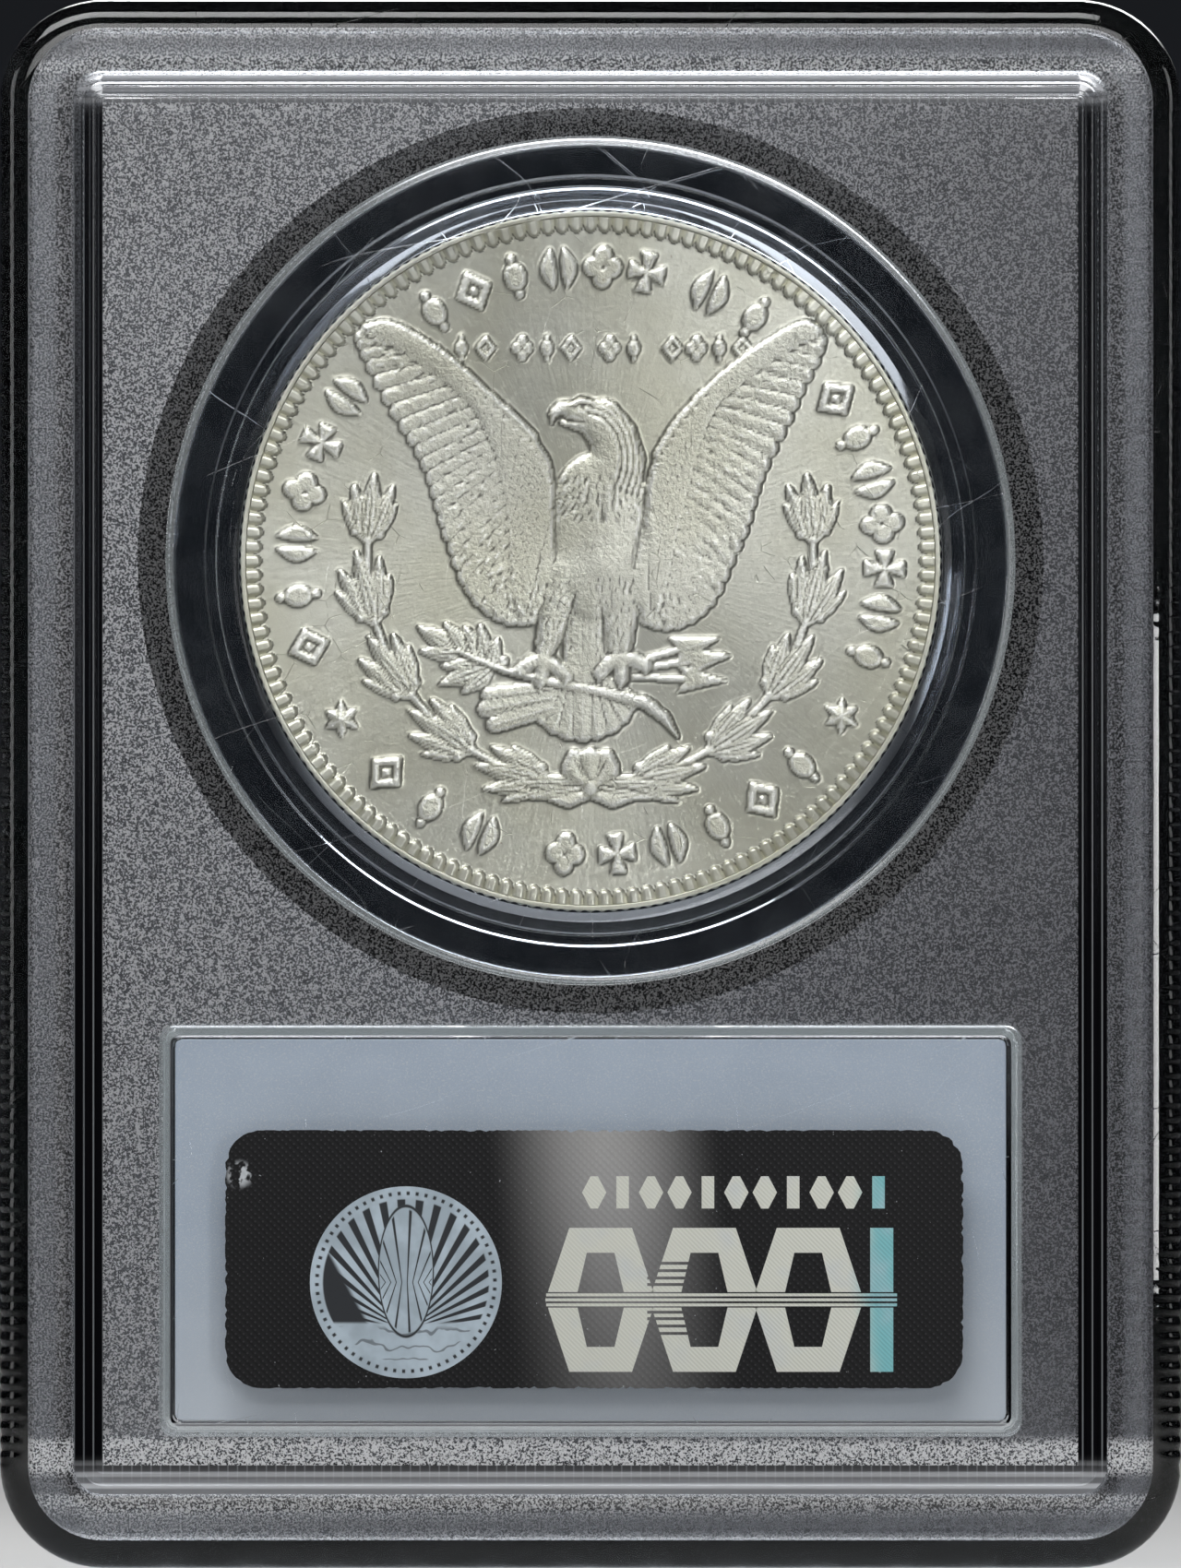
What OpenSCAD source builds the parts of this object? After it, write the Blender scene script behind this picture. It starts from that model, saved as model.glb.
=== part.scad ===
// Graded coin slab: a sealed clear holder for one large silver coin.
// Two moulded halves are welded face to face around a soft ring, the coin, and a printed card.
// The slab stands on its label end: X is its width, Y its thickness, Z its height.
// The back face, with the foil seal, looks towards -Y. The origin is the middle of the lower edge.

/* [Slab] */
// Width over the long edges
slab_w = 64; // [60:0.5:70]
// Height from the label end to the coin end
slab_h = 85; // [82:0.5:95]
// Thickness over both raised frames
slab_t = 8; // [7.4:0.1:10]
// Radius of the outer corners, and reach of the frame from the outer edge
corner_r = 5.6; // [5.2:0.1:6.5]

/* [Frame] */
// Width of the flat land round the edge, across the thickness
edge_land = 4; // [2:0.1:5]
// Width of the polished rounded band outside the frosted frame
band_w = 1.55; // [1:0.05:1.8]
// Height of the frosted frame over its foot on the band
frame_rise = 0.9; // [0.5:0.1:1.2]
// Rise of the frame's outer slope, measured across the frame
crest_run = 0.75; // [0.5:0.05:0.9]
// Width of the flat crest that the slab lies on
crest_w = 0.5; // [0.3:0.05:0.7]
// Distance from the outer edge to the polished steps inside the frame
step_start = 4.05; // [3.8:0.05:4.3]
// Depth of the sunk field below the crest
field_depth = 1.1; // [0.8:0.1:1.4]

/* [Coin window] */
// Height of the coin's centre above the lower edge
coin_z = 54.6; // [53:0.1:54.6]
// Radius where the frosted bevel starts
bevel_r = 24.4; // [24:0.1:24.6]
// Depth of the polished window below the field
dish_depth = 0.5; // [0.3:0.05:0.7]

/* [Label window] */
// Width of the printed card's window
label_w = 45.4; // [40:0.1:48]
// Height of the printed card's window
label_h = 21.0; // [16:0.1:21]
// Lower edge of the window above the slab's lower edge
label_z = 7.8; // [7.5:0.05:8]
// Width of the polished rim round the window
label_rim = 0.6; // [0.3:0.05:0.8]
// Thickness of the printed card
card_t = 0.4; // [0.3:0.05:0.6]

/* [Foil seal] */
// Width of the foil seal on the back
seal_w = 40; // [30:0.5:43]
// Height of the foil seal
seal_h = 14; // [10:0.5:18]
// Corner radius of the foil seal
seal_r = 2; // [1:0.1:3]
// Thickness of the foil seal
seal_t = 0.08; // [0.05:0.01:0.15]

/* [Coin and ring] */
// Diameter of the coin
coin_d = 38.1; // [38:0.1:38.2]
// Thickness of the coin over its rims
coin_t = 2.4; // [2.2:0.05:2.45]
// Width of the coin's flat rim
coin_rim = 0.4; // [0.3:0.05:0.8]
// Depth of the coin's sunk fields below its rims
coin_sink = 0.22; // [0.1:0.01:0.3]
// Running clearance between the coin and its ring
coin_gap = 0.05; // [0.02:0.01:0.08]
// Outer radius of the soft ring
ring_r = 22.6; // [22.4:0.05:22.6]

/* [Weld] */
// Distance from the outer edge to the weld
weld_in = 1.9; // [1.5:0.1:2.2]
// Width of the weld bead
weld_w = 1; // [0.6:0.1:1.2]
// Thickness of the weld bead, half in each shell
weld_t = 0.7; // [0.4:0.1:1]

/* [Hidden] */
$fn = 96;

half_t = slab_t / 2;
land_t = edge_land / 2;
foot_t = half_t - frame_rise;              // where the frosted frame rises from the band
field_t = half_t - field_depth;            // face of the sunk field
window_t = field_t - dish_depth;           // face of the polished coin window
seal_seat_t = field_t - 0.45;              // face of the label window
arc_steps = 6;                             // chords in each rounded stretch of the frame
bevel_in_r = bevel_r - 1.5;                // where the frosted bevel ends
bevel_in_t = window_t + 0.15;
part_gap = 0.1;                            // relief of each half inside its weld
relief_in = 3.3;                           // the relief starts this far from the outer edge
pocket_t = 1.4;                            // half depth of the pocket for the ring and coin
pocket_r = ring_r + 0.05;
ring_t = pocket_t - 0.02;                  // half thickness of the ring at its lip
coin_r = coin_d / 2;
bore_r = coin_r + coin_gap;
corner_x = slab_w / 2 - corner_r;          // centres of the four corners
corner_lo = corner_r;
corner_hi = slab_h - corner_r;
label_mid = label_z + label_h / 2;
seal_x = 0.2;                              // the seal sits a little off the middle
seal_z = 16.75;
overcut = 1;                               // how far a cutter runs past the face it opens

// Points of part of an ellipse, from angle a0 to angle a1.
function bend(c, r, a0, a1) =
    [for (i = [0 : arc_steps])
        let (a = a0 + (a1 - a0) * i / arc_steps)
        [c[0] + r[0] * cos(a), c[1] + r[1] * sin(a)]];

// The frame's section: distance in from the outer edge, height over the parting plane.
crest_in = band_w + crest_run;
crest_end = crest_in + crest_w;
slope_drop = 0.5;                          // fall of the long inner slope of the frame
section = concat(
    [[0, 0]],
    bend([band_w, land_t], [band_w, foot_t - land_t], 180, 90),
    bend([crest_in, foot_t], [crest_run, frame_rise], 172, 90),
    bend([crest_end, half_t - slope_drop], [step_start - crest_end, slope_drop], 90, 0),
    [
        [step_start, field_t + 0.45],
        [step_start + 0.65, field_t + 0.40],
        [step_start + 0.75, field_t + 0.20],
        [corner_r - 0.3, field_t + 0.15],
        [corner_r - 0.1, field_t],
        [corner_r, field_t],
        [corner_r, 0]
    ]
);

// Sweeps a section once round the slab. The section is given inwards from the outer edge.
module round_the_edge(points) {
    outline = [for (p = points) [corner_r - p[0], p[1]]];
    sides = [
        [corner_x, corner_hi, 0, corner_hi - corner_lo],
        [-corner_x, corner_hi, 90, 2 * corner_x],
        [-corner_x, corner_lo, 180, corner_hi - corner_lo],
        [corner_x, corner_lo, 270, 2 * corner_x]
    ];
    for (s = sides)
        translate([s[0], s[1], 0])
            rotate([0, 0, s[2]]) {
                rotate_extrude(angle = 90)
                    polygon(outline);
                rotate([90, 0, 0])
                    linear_extrude(s[3])
                        polygon(outline);
            }
}

// Rectangle with round corners, centred on the X axis at height mid.
module round_rect(w, h, r, mid) {
    translate([0, mid]) {
        square([w - 2 * r, h], center = true);
        square([w, h - 2 * r], center = true);
        for (x = [-1, 1], y = [-1, 1])
            translate([x * (w / 2 - r), y * (h / 2 - r)])
                circle(r);
    }
}

// Recess for the coin window: a frosted bevel that falls to a polished floor.
module coin_dish() {
    translate([0, coin_z, 0])
        rotate_extrude()
            polygon([
                [0, window_t],
                [bevel_in_r - 0.3, window_t],
                [bevel_in_r, bevel_in_t],
                [bevel_r, field_t],
                [bevel_r, field_t + overcut],
                [0, field_t + overcut]
            ]);
}

// Recess for the label window, with one step for its polished rim.
module label_recess() {
    translate([0, 0, field_t - 0.15])
        linear_extrude(overcut)
            round_rect(label_w + 2 * label_rim, label_h + 2 * label_rim, 0.8, label_mid);
    translate([0, 0, seal_seat_t])
        linear_extrude(overcut)
            round_rect(label_w, label_h, 0.4, label_mid);
}

// One half of the holder, lying with its parting plane down and its outer face up.
module half_shell() {
    difference() {
        union() {
            round_the_edge(section);
            translate([-corner_x, corner_lo, 0])
                cube([2 * corner_x, corner_hi - corner_lo, field_t]);
        }
        coin_dish();
        label_recess();
        translate([0, coin_z, -overcut])
            cylinder(h = pocket_t + overcut, r = pocket_r);
        translate([0, 0, -overcut])
            linear_extrude(card_t / 2 + overcut)
                round_rect(label_w, label_h, 0.4, label_mid);
        translate([0, 0, -overcut])
            linear_extrude(part_gap + overcut)
                round_rect(slab_w - 2 * relief_in, slab_h - 2 * relief_in,
                           corner_r - relief_in, slab_h / 2);
        weld_ring(weld_t / 2);
    }
}

// The weld's own path: a flat bead that runs once round the slab.
module weld_ring(reach) {
    round_the_edge([
        [weld_in, -reach],
        [weld_in, reach],
        [weld_in + weld_w, reach],
        [weld_in + weld_w, -reach]
    ]);
}

// Stands a lying piece up, with its upper face towards the back of the slab.
module stand_back() {
    rotate([90, 0, 0])
        children();
}

// Stands a lying piece up, with its upper face towards the front of the slab.
module stand_front() {
    rotate([90, 0, 0])
        mirror([0, 0, 1])
            children();
}

// Clear half with the foil seal's seat.
module back_shell() {
    color([0.62, 0.66, 0.70, 0.45])
        stand_back()
            half_shell();
}

// Clear half that shows the coin's face and the card's print.
module front_shell() {
    color([0.66, 0.70, 0.74, 0.45])
        stand_front()
            half_shell();
}

// The fused plastic that joins the halves: the slab's only fastening.
module weld_bead() {
    color([0.80, 0.83, 0.86])
        stand_back()
            weld_ring(weld_t / 2);
}

// Soft clear ring: a bevelled bore, a raised lip, and a thinner skirt out to the pocket's wall.
module coin_ring() {
    upper = [
        [bore_r, ring_t - 0.38],
        [bore_r + 0.5, ring_t - 0.08],
        [bore_r + 1.15, ring_t - 0.08],
        [bore_r + 1.25, ring_t],
        [bore_r + 1.75, ring_t],
        [bore_r + 1.85, ring_t - 0.23],
        [ring_r, ring_t - 0.23]
    ];
    lower = [for (i = [len(upper) - 1 : -1 : 0]) [upper[i][0], -upper[i][1]]];
    color([0.45, 0.50, 0.58])
        stand_back()
            translate([0, coin_z, 0])
                rotate_extrude()
                    polygon(concat(upper, lower));
}

// The coin: a disc with a flat rim round each sunk field.
module coin() {
    rim_in = coin_r - coin_rim;
    face = coin_t / 2;
    bed = face - coin_sink;
    color([0.72, 0.71, 0.66])
        stand_back()
            translate([0, coin_z, 0])
                rotate_extrude()
                    polygon([
                        [0, -bed],
                        [rim_in - 0.15, -bed],
                        [rim_in, -face],
                        [coin_r - 0.1, -face],
                        [coin_r, -face + 0.1],
                        [coin_r, face - 0.1],
                        [coin_r - 0.1, face],
                        [rim_in, face],
                        [rim_in - 0.15, bed],
                        [0, bed]
                    ]);
}

// Printed card, held between the two pocket floors.
module label_card() {
    margin = 0.15;
    color([0.55, 0.60, 0.65])
        stand_back()
            translate([0, 0, -card_t / 2])
                linear_extrude(card_t)
                    round_rect(label_w - 2 * margin, label_h - 2 * margin, 0.3, label_mid);
}

// Dark foil seal, stuck on the outside of the back's label window.
module foil_seal() {
    color([0.17, 0.17, 0.19])
        stand_back()
            translate([seal_x, 0, seal_seat_t])
                linear_extrude(seal_t)
                    round_rect(seal_w, seal_h, seal_r, seal_z);
}

back_shell();
front_shell();
weld_bead();
coin_ring();
coin();
label_card();
foil_seal();
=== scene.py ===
"""Looks for the graded coin slab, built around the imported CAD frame.

The slab stands on its label end. Its back, with the foil seal, looks towards -Y: azimuth 0.
Lengths in this script are millimetres in the slab's own plane: x across, z up, and depth outwards
from the parting plane of the two halves. place_back and place_front turn them into metres.
"""

import math

import bmesh
import bpy
import numpy as np
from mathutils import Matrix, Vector
from mathutils.geometry import delaunay_2d_cdt


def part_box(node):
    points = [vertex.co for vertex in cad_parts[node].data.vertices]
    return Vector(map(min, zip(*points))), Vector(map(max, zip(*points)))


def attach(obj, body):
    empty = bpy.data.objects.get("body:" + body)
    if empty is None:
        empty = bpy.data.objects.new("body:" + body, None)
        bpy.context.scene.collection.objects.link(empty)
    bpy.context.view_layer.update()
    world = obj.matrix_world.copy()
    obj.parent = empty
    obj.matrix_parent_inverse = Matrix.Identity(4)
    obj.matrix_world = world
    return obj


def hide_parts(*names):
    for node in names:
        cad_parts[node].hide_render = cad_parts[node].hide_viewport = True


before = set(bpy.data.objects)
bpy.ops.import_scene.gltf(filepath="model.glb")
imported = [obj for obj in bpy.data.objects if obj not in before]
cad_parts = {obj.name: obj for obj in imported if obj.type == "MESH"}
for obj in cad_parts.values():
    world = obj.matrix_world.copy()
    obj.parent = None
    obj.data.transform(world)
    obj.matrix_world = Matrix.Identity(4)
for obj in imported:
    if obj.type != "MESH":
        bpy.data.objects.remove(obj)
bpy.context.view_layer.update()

MM = 0.001
METRE = 1.0 / MM


def box_mm(node):
    """A CAD node's box in millimetres."""
    low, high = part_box(node)
    return low * METRE, high * METRE


# ---------------------------------------------------------------- sizes, from the frame
shell_low, shell_high = box_mm("back_shell")
ring_low, ring_high = box_mm("coin_ring")
coin_low, coin_high = box_mm("coin")
card_low, card_high = box_mm("label_card")
seal_low, seal_high = box_mm("foil_seal")

SLAB_W = shell_high.x - shell_low.x
SLAB_H = shell_high.z - shell_low.z
HALF_T = shell_high.y - shell_low.y
COIN_Z = (coin_low.z + coin_high.z) / 2
COIN_R = (coin_high.x - coin_low.x) / 2
COIN_HALF = (coin_high.y - coin_low.y) / 2
RING_R = (ring_high.x - ring_low.x) / 2
RING_HALF = (ring_high.y - ring_low.y) / 2
CARD_W = card_high.x - card_low.x
CARD_H = card_high.z - card_low.z
CARD_HALF = (card_high.y - card_low.y) / 2
CARD_Z = (card_low.z + card_high.z) / 2
SEAL_W = seal_high.x - seal_low.x
SEAL_H = seal_high.z - seal_low.z
SEAL_X = (seal_low.x + seal_high.x) / 2
SEAL_Z = (seal_low.z + seal_high.z) / 2
SEAL_IN = -seal_high.y      # depth of the seat that the seal is stuck on
SEAL_OUT = -seal_low.y      # depth of the seal's own face

# Sizes of the mouldings that the frame's boxes don't hold, as in the CAD model.
CORNER_R = 5.6
LAND = 2.0
BAND = 1.55
FOOT = HALF_T - 0.9
CREST_IN = BAND + 0.75
CREST_OUT = CREST_IN + 0.5
STEP_IN = 4.05
FIELD = HALF_T - 1.1
WINDOW = FIELD - 0.5
BEVEL_R = 24.4
BEVEL_IN_R = BEVEL_R - 1.5
POCKET_R = RING_R + 0.05
POCKET = RING_HALF + 0.02
WINDOW_W = CARD_W + 0.3
WINDOW_H = CARD_H + 0.3
LABEL_RIM = 0.6
RELIEF_GAP = 0.1
RELIEF_IN = 3.3
WELD_IN = 1.9
WELD_OUT = 2.9
WELD_HALF = 0.35
RIB_PITCH = 0.8
RIB_DEPTH = 0.09
MEDAL_X = SEAL_X - 10.2       # the seal's round vignette
MEDAL_Z = SEAL_Z - 1.25
MEDAL_R = 5.2


def place_back(x, z, depth):
    return (x * MM, -depth * MM, z * MM)


def place_front(x, z, depth):
    return (x * MM, depth * MM, z * MM)


# ---------------------------------------------------------------- node helpers
PLASTIC_IOR = 1.59
CLEAR_TINT = (0.965, 0.975, 0.985)
HAZE_TINT = (0.80, 0.82, 0.85)


class Graph:
    """Builds a material's nodes with short calls. A colour is written without its alpha."""

    def __init__(self, name):
        self.material = bpy.data.materials.new(name)
        self.material.use_nodes = True
        self.tree = self.material.node_tree
        self.tree.nodes.clear()
        self.out = self.tree.nodes.new("ShaderNodeOutputMaterial")

    def node(self, kind, **settings):
        made = self.tree.nodes.new("ShaderNode" + kind)
        for key, value in settings.items():
            setattr(made, key, value)
        return made

    def put(self, value, socket):
        """Links an output to an input, or sets the input's plain value."""
        if isinstance(value, bpy.types.NodeSocket):
            self.tree.links.new(value, socket)
        elif socket.type == "RGBA":
            socket.default_value = (*value, 1.0)
        else:
            socket.default_value = value

    def fill(self, made, values):
        """Fills a node's inputs from the first on, and returns its first output."""
        for value, socket in zip(values, made.inputs, strict=False):
            self.put(value, socket)
        return made.outputs[0]

    def maths(self, operation, a, b=0.0, c=0.0, clamp=False):
        return self.fill(self.node("Math", operation=operation, use_clamp=clamp), (a, b, c))

    def times(self, a, b, clamp=False):
        return self.maths("MULTIPLY", a, b, clamp=clamp)

    def plus(self, a, b, clamp=False):
        return self.maths("ADD", a, b, clamp=clamp)

    def minus(self, a, b):
        return self.maths("SUBTRACT", a, b)

    def scaled(self, a, b, c):
        """a times b, plus c."""
        return self.maths("MULTIPLY_ADD", a, b, c)

    def size(self, a):
        return self.maths("ABSOLUTE", a)

    def sine(self, a):
        return self.maths("SINE", a)

    def wave(self, a, pitch):
        """A sine with one wave every pitch millimetres."""
        return self.sine(self.times(a, 2.0 * math.pi / pitch))

    def most(self, first, *others):
        for other in others:
            first = self.maths("MAXIMUM", first, other)
        return first

    def vector(self, operation, a, b=(0.0, 0.0, 0.0)):
        made = self.node("VectorMath", operation=operation)
        first = self.fill(made, (a, b))
        return made.outputs["Value"] if operation == "LENGTH" else first

    def place(self):
        """Object coordinates in millimetres."""
        made = self.node("VectorMath", operation="SCALE")
        made.inputs["Scale"].default_value = METRE
        return self.fill(made, (self.node("TexCoord").outputs["Object"],))

    def axes(self, vector):
        made = self.node("SeparateXYZ")
        self.fill(made, (vector,))
        return tuple(made.outputs)

    def joined(self, x, y, z=0.0):
        return self.fill(self.node("CombineXYZ"), (x, y, z))

    def noise(self, vector, scale, detail=2.0, rough=0.5):
        made = self.node("TexNoise")
        self.put(vector, made.inputs["Vector"])
        made.inputs["Scale"].default_value = scale
        made.inputs["Detail"].default_value = detail
        made.inputs["Roughness"].default_value = rough
        return made.outputs["Fac"]

    def cells(self, vector, scale, feature="F1"):
        made = self.node("TexVoronoi", feature=feature)
        self.put(vector, made.inputs["Vector"])
        made.inputs["Scale"].default_value = scale
        return made.outputs["Distance"]

    def ramp(self, value, low, high, to_low=0.0, to_high=1.0):
        """Maps low..high to to_low..to_high, held at both ends, with a smooth middle."""
        made = self.node("MapRange", interpolation_type="SMOOTHSTEP")
        return self.fill(made, (value, low, high, to_low, to_high))

    def fall(self, value, low, high):
        """One below low, zero above high."""
        return self.ramp(value, low, high, 1.0, 0.0)

    def between(self, value, low, high, soft):
        """One where the value lies between low and high, zero elsewhere."""
        rise = self.ramp(value, low - soft, low + soft)
        return self.times(rise, self.fall(value, high - soft, high + soft))

    def blend(self, share, a, b):
        """Mixes two colours."""
        made = self.node("Mix", data_type="RGBA")
        for value, socket in ((share, 0), (a, 6), (b, 7)):
            self.put(value, made.inputs[socket])
        return made.outputs[2]

    def bump(self, height, distance, normal=None):
        """distance is the height's real depth in millimetres."""
        made = self.node("Bump")
        made.inputs["Strength"].default_value = 1.0
        made.inputs["Distance"].default_value = distance * MM
        self.put(height, made.inputs["Height"])
        if normal is not None:
            self.put(normal, made.inputs["Normal"])
        return made.outputs[0]

    def shader(self, **values):
        made = self.node("BsdfPrincipled")
        for key, value in values.items():
            self.put(value, made.inputs[key.replace("_", " ")])
        return made.outputs[0]

    def glass(self, rough, tint=CLEAR_TINT, ior=PLASTIC_IOR, **more):
        return self.shader(
            Base_Color=tint, Roughness=rough, IOR=ior, Transmission_Weight=1.0, **more
        )

    def mixed(self, share, a, b):
        """Mixes two shaders."""
        return self.fill(self.node("MixShader"), (share, a, b))

    def finish(self, surface):
        self.put(surface, self.out.inputs["Surface"])
        return self.material

    def painted(self, **values):
        return self.finish(self.shader(**values))

    def clear(self, surface, tint=CLEAR_TINT):
        """Clear plastic that lamps shine through: rays from what is inside meet no glass."""
        rays = self.node("LightPath").outputs
        straight = self.most(rays["Is Shadow Ray"], rays["Is Diffuse Ray"])
        through = self.fill(self.node("BsdfTransparent"), (tint,))
        return self.finish(self.mixed(straight, surface, through))

    def hazed(self, glass, colour, share, normal=None):
        """Clear plastic under a haze that scatters light, as strong as share says."""
        haze = self.node("BsdfDiffuse")
        self.put(colour, haze.inputs["Color"])
        if normal is not None:
            self.put(normal, haze.inputs["Normal"])
        return self.clear(self.mixed(share, glass, haze.outputs[0]), HAZE_TINT)


# ---------------------------------------------------------------- materials
def scratches(g, place, density):
    """Thin handling scratches: a few long straight lines at different slants."""
    x, _, z = g.axes(place)
    marks = []
    for slant, pitch, seed in ((0.6, 5.0, 3.1), (1.9, 7.0, 8.7), (2.7, 6.0, 15.3)):
        across = g.plus(g.times(x, math.cos(slant)), g.times(z, math.sin(slant)))
        wander = g.noise(g.joined(g.times(x, 0.12), z, seed), 0.15, 1.0)
        lane = g.plus(g.times(across, 1.0 / pitch), wander)
        near = g.size(g.minus(g.maths("FRACT", lane), 0.5))
        here = g.ramp(g.noise(place, 0.11, 1.0), 1.0 - density, 1.02 - density)
        marks.append(g.times(g.fall(near, 0.0, 0.004), here))
    return g.most(*marks)


def make_polished():
    """Polished clear polystyrene, with faint moulding waves and handling scratches."""
    g = Graph("clear_polished")
    place = g.place()
    waves = g.bump(g.noise(place, 0.35, 1.0), 0.004)
    normal = g.bump(scratches(g, place, 0.5), -0.004, waves)
    rough = g.ramp(g.noise(place, 0.8, 3.0), 0.4, 0.75, 0.015, 0.06)
    return g.clear(g.glass(rough, Normal=normal))


def make_inner():
    """The shells' inside faces: plain polished plastic."""
    g = Graph("clear_inside")
    return g.clear(g.glass(0.02))


def make_frosted(name, share, dark, light, worn=True):
    """The mould's frosted grain: rounded pebbles about 0.15 mm across, each with a painted
    highlight.

    share is how much a pebble's foot and its top scatter; dark and light are their greys, the light
    one standing for the painted highlight. With worn set, light and shade are also painted in by
    place.
    """
    g = Graph(name)
    place = g.place()
    x, _, z = g.axes(place)
    height = g.scaled(g.noise(place, 17.0, 1.0), 0.32, g.noise(place, 8.5, 1.0))
    rough = g.ramp(g.noise(place, 0.10, 2.0), 0.3, 0.7, 0.20, 0.26)
    glass = g.glass(rough, (0.60, 0.62, 0.66), Normal=g.bump(height, 0.012))
    # Painted light below the card window: paler pebbles there, and more haze.
    foot = g.between(z, 5.2, 7.0, 0.4) if worn else 0.0
    # The haze's colour paints a highlight on each pebble's top and shade at its foot.
    painted_glint = g.ramp(g.scaled(foot, 0.05, height), 0.57, 0.76)
    low, high = (dark, dark, dark * 1.15), (light, light, light * 1.02)
    if worn:
        # Painted light and shade by place: paler towards the upper left, along the top and bottom
        # strips and below the card window; a painted bright line on the inner slope of the top and
        # bottom strips, painted shade on their crest, and darker at the left edge. Here grain and
        # level hold only this painted light.
        side = g.ramp(g.scaled(z, 0.35, g.times(x, -1.0)), -25.0, 45.0, 0.0, 0.66)
        top = g.ramp(z, 78.0, 81.0, 0.0, 0.28)
        edge = g.ramp(x, -28.2, -27.0, -0.38, 0.0)
        inset = g.minus(SLAB_H / 2, g.size(g.minus(z, SLAB_H / 2)))
        crest = g.minus(g.between(inset, 3.4, 4.0, 0.2), g.between(inset, 1.9, 2.9, 0.4))
        grain = g.plus(side, g.times(crest, 0.50))
        grain = g.plus(grain, g.ramp(z, 4.2, 4.0, 0.0, 0.40))
        level = g.plus(g.plus(grain, edge), g.most(foot, top), clamp=True)
        high = g.blend(level, (light * 0.22, light * 0.22, light * 0.24), high)
    # More haze below the card window: painted light.
    more = g.scaled(foot, 0.45, 1.0)
    amount = g.times(g.ramp(painted_glint, 0.0, 1.0, *share), more, clamp=True)
    return g.hazed(glass, g.blend(painted_glint, low, high), amount, g.bump(height, 0.03))


def make_rim(name, centre, half, soft, pitch, share):
    """Polished steps round an opening, with painted light: pale along its top and foot, dark at its
    sides.

    The pale stripes are painted reflection, the dark sides painted shade with thin painted
    highlight lines, and the haze grows towards the foot.
    """
    g = Graph(name)
    x, _, z = g.axes(g.place())
    # Painted reflection in stripes along the top and foot; painted shade and highlight lines at the
    # sides.
    level = g.ramp(g.size(g.minus(z, centre)), half - soft, half)
    stripes = g.ramp(g.wave(z, pitch), -0.4, 0.8)
    grey = g.blend(stripes, (0.22, 0.22, 0.23), (0.82, 0.83, 0.86))
    lines = g.ramp(g.wave(x, 0.52), 0.82, 0.96)
    side = g.blend(lines, (0.004, 0.004, 0.005), (0.20, 0.21, 0.22))
    lower = g.ramp(z, centre - half, centre + half, 1.8, 0.9)
    amount = g.times(g.ramp(level, 0.0, 1.0, *share), lower, clamp=True)
    return g.hazed(g.glass(0.04), g.blend(level, side, grey), amount)


def make_edge_line():
    """A moulded edge line: clear plastic with an even pale haze, a painted highlight where the edge
    catches the light.
    """
    g = Graph("clear_edge")
    return g.hazed(g.glass(0.06), (0.72, 0.79, 0.80), 0.26)


def make_ring():
    """Soft clear ring, a little blue and less polished than the shells."""
    g = Graph("ring_clear")
    place = g.place()
    rough = g.ramp(g.noise(place, 0.5, 2.0), 0.35, 0.7, 0.04, 0.10)
    dents = g.bump(g.noise(place, 1.4, 2.0), 0.003)
    return g.clear(g.glass(rough, (0.62, 0.66, 0.72), 1.50, Normal=dents), (0.85, 0.89, 0.95))


def make_weld():
    """The fused bead: clear plastic with fine bubbles."""
    g = Graph("weld_clear")
    tint = (0.93, 0.95, 0.97)
    bubbles = g.cells(g.place(), 3.5)
    rough = g.ramp(bubbles, 0.1, 0.5, 0.35, 0.12)
    return g.clear(g.glass(rough, tint, Normal=g.bump(bubbles, 0.03)), tint)


def make_card_back():
    """Coated card: pearly grain over a faint mottle, and painted light that makes it paler towards
    its foot.
    """
    g = Graph("card_back")
    place = g.place()
    _, _, z = g.axes(place)
    dark = (0.60, 0.68, 0.78)
    fibres = g.noise(place, 5.0, 2.0, 0.6)
    cloud = g.ramp(g.noise(place, 0.25, 2.0), 0.3, 0.7)
    pearl = g.ramp(g.noise(place, 11.0, 0.0), 0.52, 0.80, 0.0, 0.6)
    shade = g.blend(cloud, (0.64, 0.72, 0.82), dark)
    mottled = g.blend(g.ramp(fibres, 0.35, 0.7, 0.0, 0.20), shade, dark)
    flecked = g.blend(pearl, mottled, (0.86, 0.88, 0.90))
    # Painted light: paler towards the foot, where shade falls on the card.
    foot = g.ramp(z, CARD_Z - 11.0, CARD_Z + 2.0, 0.75, 0.0)
    return g.painted(
        Base_Color=g.blend(foot, flecked, (0.84, 0.88, 0.92)),
        Roughness=0.62,
        Specular_IOR_Level=0.35,
        Normal=g.bump(fibres, 0.01),
    )


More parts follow.
